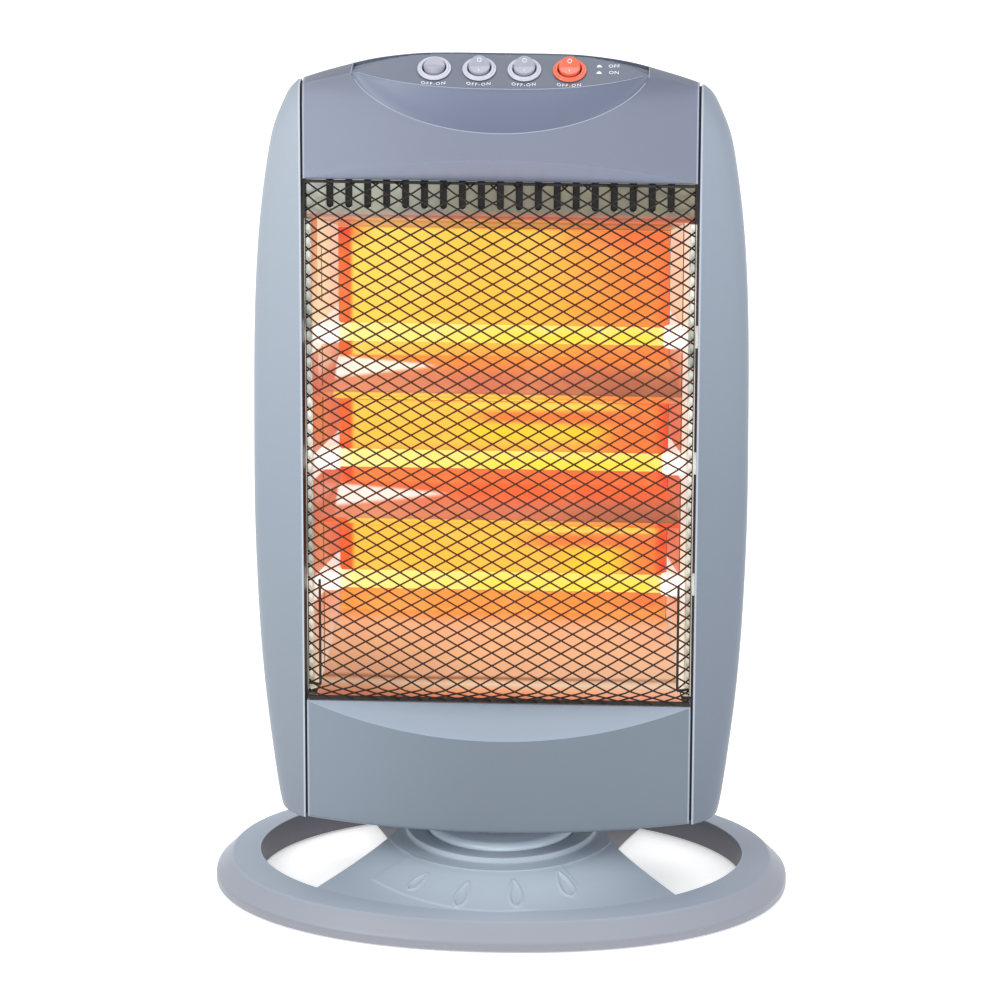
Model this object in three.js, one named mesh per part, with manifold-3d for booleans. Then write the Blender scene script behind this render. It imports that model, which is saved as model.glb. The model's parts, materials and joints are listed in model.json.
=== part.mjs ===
// Free-standing halogen heater with three horizontal tubes, on an oval base with a swivelling neck.
// Millimetres, +Z up, the front faces -Y. Origin: centre of the footprint, on the floor.
import * as THREE from 'three';
import { mergeVertices } from 'three/addons/utils/BufferGeometryUtils.js';
import Module from 'manifold-3d';

// ---------------------------------------------------------------- driving dimensions
const BASE_A = 173.4;          // base half width
const BASE_B = 118;            // base half depth
const BASE_SQUARE = 2.15;      // exponent of the base outline, a little fuller than an ellipse
const BASE_RIM_Z0 = 0.8;       // lower edge of the base rim
const BASE_WALL_Z = 6.4;       // top of the upright outer wall
const BASE_BEVEL = 10.3;       // bevel above that wall
const HOLE_A = 146.5;          // outer ellipse of the two base openings
const HOLE_B = 99.6;
const HOLE_WAIST = 63;         // half width of the bridge between the openings
const HOLE_FLARE = 1.28;       // how fast the bridge widens to the front
const HOLE_FLARE_REAR = 0.65;  // and to the rear
const RING_TOP_Z = 19.4;
const HUB_Z = 33.1;            // flat round the hub
const HUB_R = 69.5;
const STEP_R = 57.6;           // raised step round the neck
const STEP_Z = 36.3;
const COLLAR_R = 45.7;
const WALL = 2.6;              // moulded wall
const NECK_R = 20;             // swivel journal radius
const NECK_FIT = 0.10;         // radial running clearance of the journal
const HEAD_Z0 = 53.5;          // underside of the head
const HEAD_TOP = 524;          // crest of the head
const FRONT_Y = -62;           // middle of the bowed front
const FRONT_R = 319.7;         // radius of the bow in plan
const BACK_Y = 47;
const SEAM_X = 115;            // seams between front covers and side covers
const SPLIT_Y = 26;            // seam between the front shells and the rear cover
const WIN_Z0 = 128.5;          // window
const WIN_Z1 = 450.7;
const WIN_Y = -40.7;           // straight edge of the window
const CRES_LOW = 112.4;        // lower crescent facet, middle of its arc
const CRES_HIGH = 469;         // upper crescent facet, middle of its arc
const PANEL_Y = -50;           // front edge of the control panel
const PANEL_Z = 508;
const PANEL_TILT = 29;         // degrees
const POCKET_X = 86.5;         // half width of the control panel pocket
const SW_X = [-38.3, -12.3, 13.7, 39.7];
const SW_Y = -36;
const ROCK = 13;               // rocker angle to either side, degrees
const TUBE_Z = [350.9, 273.0, 197.1];
const TUBE_Y = -15;
const TUBE_R = 5.3;
const TUBE_LEN = 226;
const BACK_PANEL_Y = 14;       // flat back of the reflector troughs
const RIDGE_Y = -25;
const SLOT_N = 19;
const SLOT_PITCH = 11.0;
const SLOT_W = 4.1;
const GAP = 0.3;
const CRANK_X = -36;
const CRANK_Y = -20;
const CRANK_R = 11;
const FOOT = [126, 66];

// half width of the head against height
const SIDE = [[127, 53.5], [130.4, 54.8], [131.8, 58.5], [138.6, 108], [143.0, 156], [145.9, 225],
  [146.1, 290], [144.7, 370], [141.8, 416], [137.4, 453], [132.9, 477.4], [127.6, 491.7], [122.6, 501.5],
  [118, 506.0], [109, 509.6], [94, 514.2], [74, 519.4], [48, 522.9], [5, 523.9]];
const SIDE_Y = -20;            // where the head is widest
const TOP_FALL = 0.42;         // the top slopes down towards the rear

// ---------------------------------------------------------------- small helpers
const wasm = await Module();
wasm.setup();
const rad = THREE.MathUtils.degToRad;

function fixFacing(g) {
  const p = g.getAttribute('position');
  const ix = g.getIndex().array;
  let v = 0;
  const a = new THREE.Vector3(), b = new THREE.Vector3(), c = new THREE.Vector3();
  for (let i = 0; i < ix.length; i += 3) {
    a.fromBufferAttribute(p, ix[i]);
    b.fromBufferAttribute(p, ix[i + 1]);
    c.fromBufferAttribute(p, ix[i + 2]);
    v += a.dot(b.cross(c));
  }
  if (v < 0) for (let i = 0; i < ix.length; i += 3) [ix[i + 1], ix[i + 2]] = [ix[i + 2], ix[i + 1]];
  return g;
}

function clean(geo, tol = 1e-4) {
  const g = geo.clone();
  for (const k of ['normal', 'uv', 'uv1', 'color']) g.deleteAttribute(k);
  const m = mergeVertices(g, tol);
  m.clearGroups();
  const src = m.getIndex().array;
  const keep = [];
  for (let i = 0; i < src.length; i += 3) {
    const [a, b, c] = [src[i], src[i + 1], src[i + 2]];
    if (a !== b && b !== c && a !== c) keep.push(a, b, c);
  }
  m.setIndex(keep);
  return fixFacing(m);
}

function solid(geo) {
  const g = clean(geo);
  return new wasm.Manifold(new wasm.Mesh({
    numProp: 3,
    vertProperties: new Float32Array(g.getAttribute('position').array),
    triVerts: new Uint32Array(g.getIndex().array),
  }));
}

function geoOf(man) {
  const m = man.getMesh();
  const n = m.numProp;
  const pos = new Float32Array(m.vertProperties.length / n * 3);
  for (let i = 0, j = 0; i < m.vertProperties.length; i += n, j += 3) {
    pos[j] = m.vertProperties[i];
    pos[j + 1] = m.vertProperties[i + 1];
    pos[j + 2] = m.vertProperties[i + 2];
  }
  const g = new THREE.BufferGeometry();
  g.setAttribute('position', new THREE.BufferAttribute(pos, 3));
  g.setIndex(Array.from(m.triVerts));
  g.computeVertexNormals();
  return g;
}

// closed loft through rings of points that all have the same count
function loft(rings, capAxes = [0, 1], mirrored = false) {
  const n = rings[0].length;
  const pos = [];
  for (const r of rings) for (const p of r) pos.push(p[0], p[1], p[2]);
  const idx = [];
  for (let k = 0; k < rings.length - 1; k++) {
    for (let i = 0; i < n; i++) {
      const a = k * n + i, b = k * n + (i + 1) % n, c = a + n, d = b + n;
      idx.push(a, b, d, a, d, c);
    }
  }
  const cap = (ring, off, flip) => {
    const flat = ring.map((p) => new THREE.Vector2(p[capAxes[0]], p[capAxes[1]]));
    const cw = THREE.ShapeUtils.area(flat) < 0;
    const faces = THREE.ShapeUtils.triangulateShape(flat, []);
    for (const f of faces) {
      const t = flip !== cw ? [f[0], f[2], f[1]] : [f[0], f[1], f[2]];
      idx.push(off + t[0], off + t[1], off + t[2]);
    }
  };
  if (mirrored) {
    // end caps made of strips from side to side, so that they keep the curve from front to back
    for (const [off, flip] of [[0, true], [(rings.length - 1) * n, false]]) {
      for (let i = 0; i < n / 2; i++) {
        const q = [i, i + 1, n - i - 1, (n - i) % n];
        for (const f of [[q[0], q[1], q[2]], [q[0], q[2], q[3]]]) {
          if (new Set(f).size < 3) continue;
          if (flip) idx.push(off + f[0], off + f[2], off + f[1]);
          else idx.push(off + f[0], off + f[1], off + f[2]);
        }
      }
    }
    const g = new THREE.BufferGeometry();
    g.setAttribute('position', new THREE.BufferAttribute(new Float32Array(pos), 3));
    g.setIndex(idx);
    return fixFacing(g);
  }
  cap(rings[0], 0, true);
  cap(rings[rings.length - 1], (rings.length - 1) * n, false);
  // the caps follow the direction of the side walls
  const fwd = THREE.ShapeUtils.area(rings[0].map((p) => new THREE.Vector2(p[capAxes[0]], p[capAxes[1]]))) > 0;
  if (!fwd) {
    const sides = (rings.length - 1) * n * 6;
    for (let i = sides; i < idx.length; i += 3) [idx[i + 1], idx[i + 2]] = [idx[i + 2], idx[i + 1]];
  }
  const g = new THREE.BufferGeometry();
  g.setAttribute('position', new THREE.BufferAttribute(new Float32Array(pos), 3));
  g.setIndex(idx);
  return fixFacing(g);
}

const box = (x0, x1, y0, y1, z0, z1) => {
  const g = new THREE.BoxGeometry(x1 - x0, y1 - y0, z1 - z0);
  g.translate((x0 + x1) / 2, (y0 + y1) / 2, (z0 + z1) / 2);
  return g;
};
// upright cylinder
const cylZ = (x, y, r, z0, z1, n = 32, r2 = r) => {
  const g = new THREE.CylinderGeometry(r2, r, z1 - z0, n);
  g.rotateX(Math.PI / 2);
  g.translate(x, y, (z0 + z1) / 2);
  return g;
};
const cylY = (x, z, r, y0, y1, n = 24) => {
  const g = new THREE.CylinderGeometry(r, r, y1 - y0, n);
  g.translate(x, (y0 + y1) / 2, z);
  return g;
};
const cylX = (y, z, r, x0, x1, n = 24) => {
  const g = new THREE.CylinderGeometry(r, r, x1 - x0, n);
  g.rotateZ(Math.PI / 2);
  g.translate((x0 + x1) / 2, y, z);
  return g;
};
// lathe about +Z from [radius, z] pairs; a profile off the axis is closed on itself
const latheZ = (pts, n = 48) => {
  const v = pts.map((p) => new THREE.Vector2(p[0], p[1]));
  if (pts[0][0] > 0 || pts[pts.length - 1][0] > 0) v.push(v[0].clone());
  const g = new THREE.LatheGeometry(v, n);
  g.rotateX(Math.PI / 2);
  g.scale(1, 1, 1);
  return g;
};
const latheX = (pts, n = 24) => {
  const g = latheZ(pts, n);
  g.rotateY(Math.PI / 2);
  return g;
};
const latheY = (pts, n = 24) => {
  const g = latheZ(pts, n);
  g.rotateX(-Math.PI / 2);
  return g;
};
const prismZ = (pts, z0, z1) => {
  const s = new THREE.Shape(pts.map((p) => new THREE.Vector2(p[0], p[1])));
  const g = new THREE.ExtrudeGeometry(s, { depth: z1 - z0, bevelEnabled: false, steps: 1 });
  g.translate(0, 0, z0);
  return g;
};
// outline in (Y, Z) extruded along X
const prismX = (pts, x0, x1) => {
  const s = new THREE.Shape(pts.map((p) => new THREE.Vector2(p[0], p[1])));
  const g = new THREE.ExtrudeGeometry(s, { depth: x1 - x0, bevelEnabled: false, steps: 1 });
  g.applyMatrix4(new THREE.Matrix4().set(0, 0, 1, x0, 1, 0, 0, 0, 0, 1, 0, 0, 0, 0, 0, 1));
  return g;
};
const bez = (a, b, c, d, t) => {
  const u = 1 - t;
  return [0, 1].map((i) => u * u * u * a[i] + 3 * u * u * t * b[i] + 3 * u * t * t * c[i] + t * t * t * d[i]);
};
const clamp01 = (v) => Math.min(1, Math.max(0, v));

const group = new THREE.Group();
function add(name, geo, color, roughness, metalness, parent = group, extra = {}) {
  const g = geo.isBufferGeometry ? clean(geo) : geoOf(geo);
  if (!g.getAttribute('normal')) g.computeVertexNormals();
  const m = new THREE.Mesh(g, new THREE.MeshStandardMaterial({ color, roughness, metalness, ...extra }));
  m.name = name;
  parent.add(m);
  return m;
}
const GREY = 0x98a5b6, GREY2 = 0x93a0b0, STEEL = 0xb8bcc2, BLACK = 0x1a1614, WHITE = 0xe9e6df, DARK = 0x33363c;

// ---------------------------------------------------------------- head envelope
const frontY = (x) => FRONT_Y + FRONT_R - Math.sqrt(FRONT_R * FRONT_R - x * x);
const leanF = (z) => 10 * clamp01((z - 490) / 34) ** 2;
const leanR = (z) => 20 * clamp01((z - 470) / 54) ** 2;
const ease = (v) => v * v * (3 - 2 * v);
const fall = (y, z) => ease(clamp01((z - 405) / 107)) * TOP_FALL * Math.max(0, y + 24);

function section(w, z, t) {
  const xs = Math.min(SEAM_X, w - 3);
  const half = [];
  const [nF, nC, nR, nB] = t > 0 ? [3, 3, 3, 1] : [5, 4, 4, 2];
  const yf = (x) => frontY(x) + leanF(z) + t;
  for (let i = 0; i <= nF; i++) half.push([xs * i / nF, yf(xs * i / nF)]);
  const k = w - xs;
  const yw = SIDE_Y;
  const p0 = [xs, yf(xs)];
  const p1 = [xs + 0.5 * k, p0[1] + 0.24 * k];
  const p2 = [w, yw - 0.58 * (yw - p0[1])];
  for (let i = 1; i <= nC; i++) half.push(bez(p0, p1, p2, [w, yw], i / nC));
  const yb = BACK_Y - t - leanR(z);
  const xr = 0.68 * w;
  const yr = yb - 3;
  for (let i = 1; i <= nR; i++) half.push(bez([w, yw], [w, yw + 0.72 * (yr - yw)], [xr + 0.5 * (w - xr), yr], [xr, yr], i / nR));
  for (let i = 1; i <= nB; i++) {
    const x = xr * (1 - i / nB);
    half.push([x, yb - 3 * (x / xr) ** 2]);
  }
  const ring = half.map((p) => [p[0], p[1], z - fall(p[1], z)]);
  for (let i = half.length - 2; i > 0; i--) ring.push([-half[i][0], half[i][1], z - fall(half[i][1], z)]);
  return ring;
}

function envelope(t) {
  const out = [];
  for (let i = 0; i < SIDE.length; i++) {
    const a = SIDE[Math.max(0, i - 1)], b = SIDE[Math.min(SIDE.length - 1, i + 1)];
    let nx = -(b[1] - a[1]), nz = b[0] - a[0];
    const l = Math.hypot(nx, nz);
    nx /= l; nz /= l;
    let w = SIDE[i][0] + nx * t, z = SIDE[i][1] + nz * t;
    if (i === SIDE.length - 1) { w = SIDE[i][0]; z = SIDE[i][1] - t; }
    out.push([w, z]);
  }
  if (t > 0) {
    // flat inner floor
    while (out.length > 2 && out[1][1] < HEAD_Z0 + t + 0.5) out.splice(1, 1);
    out[0] = [out[1][0] - 1.5, HEAD_Z0 + t];
    // the inside needs fewer stations
    for (const i of [13, 9, 7, 5]) out.splice(i, 1);
  }
  return loft(out.map(([w, z]) => section(w, z, t)), [0, 1], true);
}
const OUTER = solid(envelope(0));
const INNER = solid(envelope(WALL));

// ---------------------------------------------------------------- side covers
const FAR = 400;
const seamHi = solid(box(SEAM_X + GAP, FAR, -FAR, SPLIT_Y - GAP, 0, FAR * 2));
const seamLo = solid(box(-FAR, -SEAM_X - GAP, -FAR, SPLIT_Y - GAP, 0, FAR * 2));
const shell = OUTER.subtract(INNER);
// a return flange along the front seam stiffens each side cover
const returnHi = OUTER.intersect(solid(box(SEAM_X + GAP, SEAM_X + 2.3, -FAR, -22, 60, 500)));
const returnLo = OUTER.intersect(solid(box(-SEAM_X - 2.3, -SEAM_X - GAP, -FAR, -22, 60, 500)));
add('side_cover_right', shell.intersect(seamHi).add(returnHi), GREY, 0.42, 0);
add('side_cover_left', shell.intersect(seamLo).add(returnLo), GREY, 0.42, 0);

// ---------------------------------------------------------------- front bottom cover
const MIDX = SEAM_X - GAP;
function lowRegion(t) {
  // everything under the sill and under the crescent facet
  const s = (WIN_Z0 - CRES_LOW) / (WIN_Y - FRONT_Y);
  const y1 = -120, z1 = WIN_Z0 + (y1 - WIN_Y) * s;
  const d = t * Math.hypot(1, s);
  return prismX([[y1, 0], [SPLIT_Y - GAP + (t > 0 ? 20 : 0), 0], [SPLIT_Y - GAP + (t > 0 ? 20 : 0), WIN_Z0 - t],
    [WIN_Y, WIN_Z0 - t - (d - t)], [y1, z1 - d]], -FAR, FAR);
}
const midBand = solid(box(-MIDX, MIDX, -FAR, FAR, 0, FAR * 2));
let low = OUTER.intersect(solid(lowRegion(0))).intersect(midBand);
low = low.subtract(INNER.intersect(solid(lowRegion(WALL))));
// the sill ends behind the guard
low = low.subtract(solid(box(-FAR, FAR, -26, FAR, WIN_Z0 - WALL - 6, WIN_Z0 + 5)));
low = low.subtract(solid(cylZ(0, 0, 24, 40, 70, 40)));
add('front_bottom_cover', low, GREY2, 0.42, 0);

// ---------------------------------------------------------------- front top cover with control panel
const tanT = Math.tan(rad(PANEL_TILT));
function pocket(t) {
  const rings = [];
  const xe = POCKET_X + t;
  const n = t > 0 ? 8 : 12;
  for (let i = 0; i <= n; i++) {
    const u = -Math.cos(Math.PI * i / n);
    const x = xe * u;
    const xn = Math.min(1, Math.abs(x) / (POCKET_X + t));
    const za = 518 - 33.2 * (1 - xn * xn) ** 0.62 - t;
    const xp = Math.min(Math.abs(x), POCKET_X);
    const yp = PANEL_Y + 15 * (xp / POCKET_X) ** 2.5;
    const zp = PANEL_Z + (yp - PANEL_Y) * tanT - t / Math.cos(rad(PANEL_TILT)) + (t > 0 ? t * 0.2 : 0);
    const yf = frontY(Math.min(Math.abs(x), 100)) - 0.4;
    const yBack = -22 + t;
    const zb = zp + (yBack - yp - t * 0.6) * tanT;
    rings.push([[x, -90, Math.min(za, zp - 0.2)], [x, yf + t * 0.8, Math.min(za, zp - 0.2)], [x, yp + t * 0.6, zp], [x, yBack, zb], [x, yBack, 560], [x, -90, 560]]);
  }
  return loft(rings, [1, 2]);
}
function highRegion(t) {
  const s = (CRES_HIGH - WIN_Z1) / (FRONT_Y - WIN_Y);
  const y1 = -120, z1 = WIN_Z1 + (y1 - WIN_Y) * s;
  const d = t * Math.hypot(1, s);
  const yb = SPLIT_Y - GAP + (t > 0 ? 20 : 0);
  return prismX([[y1, 700], [y1, z1 + d], [WIN_Y, WIN_Z1 + d], [yb, WIN_Z1 + t], [yb, 700]], -FAR, FAR);
}
let high = OUTER.intersect(solid(highRegion(0))).intersect(midBand);
high = high.subtract(solid(pocket(0)));
high = high.subtract(INNER.intersect(solid(highRegion(WALL))).subtract(solid(pocket(WALL))));
high = high.subtract(solid(box(-FAR, FAR, -26, FAR, WIN_Z1 - 5, WIN_Z1 + WALL + 6)));
// switch positions
const swZ = PANEL_Z + (SW_Y - PANEL_Y) * tanT;
function placed(geo, x) {
  const g = geo.clone();
  g.rotateX(rad(PANEL_TILT));
  g.translate(x, SW_Y, swZ);
  return g;
}
for (const x of SW_X) high = high.subtract(solid(placed(cylZ(0, 0, 9.4, -12, 14, 32), x)));
add('front_top_cover', high, GREY2, 0.42, 0);

// ---------------------------------------------------------------- rear cover with vents
let rear = shell.intersect(solid(box(-FAR, FAR, SPLIT_Y, FAR, 0, FAR * 2)));
for (const [z0, z1] of [[352, 440], [110, 160]]) {
  for (let z = z0; z <= z1 + 1; z += 22) {
    for (const [a, b] of [[-82, -5], [5, 82]]) {
      rear = rear.subtract(solid(box(a, b, 36, 60, z, z + 6)));
    }
  }
}
const INLET = [58, 70];
rear = rear.subtract(solid(cylY(INLET[0], INLET[1], 7.3, 30, 60, 24)));
const RSCREW = [[-104, 74], [104, 74], [-98, 392], [98, 392]];
for (const [x, z] of RSCREW) rear = rear.subtract(solid(cylY(x, z, 1.9, 20, 60, 16)));
add('rear_cover', rear, GREY, 0.5, 0);

function backY(x, z) {
  let w = 140;
  for (let i = 0; i < SIDE.length - 1; i++) {
    if (z >= SIDE[i][1] && z <= SIDE[i + 1][1]) {
      const f = (z - SIDE[i][1]) / (SIDE[i + 1][1] - SIDE[i][1]);
      w = SIDE[i][0] + f * (SIDE[i + 1][0] - SIDE[i][0]);
    }
  }
  const yb = BACK_Y - leanR(z), xr = 0.68 * w;
  if (Math.abs(x) <= xr) return yb - 3 * (x / xr) ** 2;
  let best = yb - 3, d = 1e9;
  for (let i = 0; i <= 100; i++) {
    const p = bez([w, 2], [w, 2 + 0.72 * (yb - 5)], [xr + 0.5 * (w - xr), yb - 3], [xr, yb - 3], i / 100);
    if (Math.abs(p[0] - Math.abs(x)) < d) { d = Math.abs(p[0] - Math.abs(x)); best = p[1]; }
  }
  return best;
}
RSCREW.forEach(([x, z], i) => {
  const y = backY(x, z) + 0.9;
  const g = latheY([[0, y - 14], [1.5, y - 14], [1.5, y], [3.6, y], [3.5, y + 1.2], [2.4, y + 2.1], [0, y + 2.1]], 10);
  g.translate(x, 0, z);
  add(`rear_screw_${i + 1}`, g, STEEL, 0.35, 1);
});

// cord inlet: a moulded bush in the rear cover
{
  const y = backY(INLET[0], INLET[1]);
  const g = latheY([[3.7, y - 8], [7.0, y - 8], [7.0, y + 0.5], [9.6, y + 0.5], [9.2, y + 2.6], [6.4, y + 4.5], [5.6, y + 11], [3.7, y + 11]], 18);
  g.translate(INLET[0], 0, INLET[1]);
  add('cord_inlet_bush', g, 0x24262a, 0.7, 0);
}

// ---------------------------------------------------------------- guard
{
  const cw = 69, ch = 39.5, bar = 2.6;
  const x1 = SEAM_X - 1.2, z0 = WIN_Z0 + 0.6, z1 = WIN_Z1 - 0.6;
  const zm = (z0 + z1) / 2;
  let plate = solid(box(-x1, x1, -1.4, 0, z0, z1));
  const hx = cw / 2 - bar / Math.sin(Math.atan2(ch, cw)) / 2, hz = hx * ch / cw;
  // keep the part of a mesh opening on one side of a line
  const cut = (pts, k, lim, sign) => {
    const out = [];
    pts.forEach((a, i) => {
      const b = pts[(i + 1) % pts.length];
      const da = sign * (a[k] - lim), db = sign * (b[k] - lim);
      if (da <= 0) out.push(a);
      if (da * db < 0) { const t = da / (da - db); out.push([a[0] + t * (b[0] - a[0]), a[1] + t * (b[1] - a[1])]); }
    });
    return out;
  };
  for (let r = -9; r <= 9; r++) {
    for (let c = -4; c <= 4; c++) {
      if ((r + c) % 2 !== 0) continue;
      const cx = c * cw / 2, cz = zm + r * ch / 2;
      let q = [[cx - hx, cz], [cx, cz + hz], [cx + hx, cz], [cx, cz - hz]];
      q = cut(cut(cut(cut(q, 0, x1 - 3.07, 1), 0, -x1 + 3.07, -1), 1, z1 - 3.57, 1), 1, z0 + 3.53, -1);
      q = q.filter((a, i) => Math.hypot(a[0] - q[(i + 1) % q.length][0], a[1] - q[(i + 1) % q.length][1]) > 0.05);
      if (q.length < 3 || Math.abs(THREE.ShapeUtils.area(q.map((v) => new THREE.Vector2(v[0], v[1])))) < 12) continue;
      const hole = new THREE.ExtrudeGeometry(new THREE.Shape(q.map((v) => new THREE.Vector2(v[0], v[1]))), { depth: 8, bevelEnabled: false, steps: 1 });
      hole.rotateX(Math.PI / 2);
      plate = plate.subtract(solid(hole.translate(0, 4, 0)));
    }
  }
  const g = geoOf(plate);
  const p = g.getAttribute('position');
  for (let i = 0; i < p.count; i++) {
    const x = p.getX(i), z = p.getZ(i);
    const bow = 11.5 * (1 - (x / x1) ** 2);
    const ez = clamp01(Math.min(z - z0, z1 - z) / 16);
    p.setY(i, p.getY(i) + WIN_Y + 3.8 - bow * (0.15 + 0.85 * ez));
  }
  add('guard_grille', g, BLACK, 0.45, 0.6);
}

// ---------------------------------------------------------------- reflector
function sheet(pts, t) {
  // constant thickness strip on the back side of a polyline in (Y, Z)
  const off = pts.map((p, i) => {
    const a = pts[Math.max(0, i - 1)], b = pts[Math.min(pts.length - 1, i + 1)];
    const n = (u, v) => { const l = Math.hypot(v[0] - u[0], v[1] - u[1]); return [-(v[1] - u[1]) / l, (v[0] - u[0]) / l]; };
    const n1 = i > 0 ? n(a, p) : n(p, b), n2 = i < pts.length - 1 ? n(p, b) : n1;
    const m = [n1[0] + n2[0], n1[1] + n2[1]], l = Math.hypot(m[0], m[1]);
    const c = Math.max(0.35, (m[0] * n1[0] + m[1] * n1[1]) / l);
    return [p[0] + m[0] / l * t / c, p[1] + m[1] / l * t / c];
  });
  return pts.concat(off.reverse());
}
const REFL = [[-36, 449], [-36, 431.3], [BACK_PANEL_Y, 408], [BACK_PANEL_Y, 327.3], [RIDGE_Y + 1, 317], [RIDGE_Y, 315.6], [RIDGE_Y + 1, 314.2],
  [BACK_PANEL_Y, 301.5], [BACK_PANEL_Y, 247.8], [RIDGE_Y + 1, 238.8], [RIDGE_Y, 237.4], [RIDGE_Y + 1, 236], [BACK_PANEL_Y, 223], [BACK_PANEL_Y, 167.2],
  [-30, 133.2], [-35, 131]];
{
  // sheet on the rear side
  let r = solid(prismX(sheet(REFL, 0.9), -97.6, 97.6));
  // the slotted flange runs the whole width
  r = r.add(solid(prismX(sheet([[-36, 449], [-36, 431.3], [-30, 428.6]], 0.9), -112, 112)));
  for (let i = 0; i < SLOT_N; i++) {
    const x = (i - (SLOT_N - 1) / 2) * SLOT_PITCH;
    r = r.subtract(solid(box(x - SLOT_W / 2, x + SLOT_W / 2, -50, -20, 434.5, 447)));
  }
  add('reflector', r, 0xcfc6b8, 0.18, 1);
}

// angled end plates carry the tubes
for (const s of [-1, 1]) {
  // plate from the back panel edge out to the window side
  const quad = [[98.4, 18], [98.4, 13.5], [109.6, -35], [110.5, -35], [99.3, 14.5], [99.3, 18]];
  let pl = solid(prismZ(quad.map(([x, y]) => [s * x, y]), 134.5, 424));
  // keep the ceramic caps clear
  for (const z of TUBE_Z) pl = pl.subtract(solid(cylX(TUBE_Y, z, 6.9, Math.min(s * 85, s * 125), Math.max(s * 85, s * 125), 16)));
  add(s < 0 ? 'tube_bracket_left' : 'tube_bracket_right', pl, 0xc9b9a6, 0.25, 1);
}

// heat shield behind the reflector
add('heat_shield', box(-96, 96, 21, 22, 150, 420), STEEL, 0.4, 1);

// ---------------------------------------------------------------- tubes
TUBE_Z.forEach((z, i) => {
  const h = TUBE_LEN / 2;
  const q = latheX([[TUBE_R - 0.9, -h], [TUBE_R, -h], [TUBE_R, h], [TUBE_R - 0.9, h]], 14);
  q.translate(0, TUBE_Y, z);
  add(`quartz_tube_${i + 1}`, q, 0xfff0c0, 0.1, 0, group, { emissive: 0xffb040, emissiveIntensity: 0.6 });
  const f = latheX([[0, -h - 1], [0.7, -h - 1], [0.7, -h + 16], [1.7, -h + 18], [1.7, h - 18], [0.7, h - 16], [0.7, h + 1], [0, h + 1]], 8);
  f.translate(0, TUBE_Y, z);
  add(`filament_${i + 1}`, f, 0xffe9a0, 0.4, 0, group, { emissive: 0xffd060, emissiveIntensity: 1 });
  for (const s of [-1, 1]) {
    // blind ceramic socket, open towards the tube
    const c = latheX([[0, h + 3], [6.4, h + 3], [6.4, h - 16], [5.7, h - 16], [5.7, h + 1.4], [0, h + 1.4]], 14);
    if (s < 0) c.rotateZ(Math.PI);
    c.translate(0, TUBE_Y, z);
    add(`ceramic_cap_${s < 0 ? 'left' : 'right'}_${i + 1}`, c, WHITE, 0.6, 0);
  }
});

// ---------------------------------------------------------------- switches on the panel
SW_X.forEach((x, i) => {
  const col = i === 3 ? 0xff7a55 : 0xcfcfd8;
  let h = solid(latheZ([[0, -12.5], [9.1, -12.5], [9.1, 0.3], [10.3, 0.3], [10.0, 2.1], [8.1, 2.3], [8.1, -9.5], [0, -9.5]], 18));
  h = h.subtract(solid(cylX(0, 0.6, 1.3, -8.7, 8.7, 10)));
  const hm = geoOf(h);
  hm.deleteAttribute('normal');
  add(`switch_housing_${i + 1}`, placed(hm, x), i === 3 ? 0xff8a66 : 0xd6d6de, 0.4, 0);
  // the rocker: a round key with a shallow V on top, on two trunnions
  const prof = [[-6.6, -3.4], [6.6, -3.4], [6.6, 5.6], [5.4, 6.3], [0, 4.4], [-5.4, 6.3], [-6.6, 5.6]];
  let k = solid(prismX(prof, -7, 7)).intersect(solid(cylZ(0, 0, 6.6, -4, 8, 16)));
  k = k.add(solid(cylX(0, 0, 1.2, -8.4, 8.4, 10)));
  const km = geoOf(k);
  km.deleteAttribute('normal');
  km.rotateX(rad(i === 0 ? -ROCK : ROCK));
  km.translate(0, 0, 0.6);
  add(`switch_rocker_${i + 1}`, placed(km, x), col, 0.38, 0);
});

// ---------------------------------------------------------------- head chassis and drive
{
  const ring = section(126, HEAD_Z0 + 4, WALL + 1.2).map((p) => [p[0], Math.min(p[1], SPLIT_Y + 8)]);
  let f = solid(prismZ(ring, 56.9, 58.7));
  f = f.subtract(solid(cylZ(0, 0, 19.8, 50, 70, 40)));
  add('head_floor', f, STEEL, 0.4, 1);
}
add('neck_tube', latheZ([[16, 8], [NECK_R, 8], [NECK_R, 33.6], [23, 33.6], [23, 56.6], [19.5, 56.6], [19.5, 64], [16, 64]], 36), 0x9aa0a6, 0.4, 1);
add('neck_nut', latheZ([[19.8, 59], [27, 59], [27, 63], [19.8, 63]], 24), STEEL, 0.35, 1);
add('swivel_collar', latheZ([[23.3, 33.9], [COLLAR_R, 33.9], [COLLAR_R, 36.6], [44.8, 38.5], [42.6, 40.0], [34, 41.8], [23.3, 42.5]], 32), 0xa9b6c4, 0.35, 0);
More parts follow.
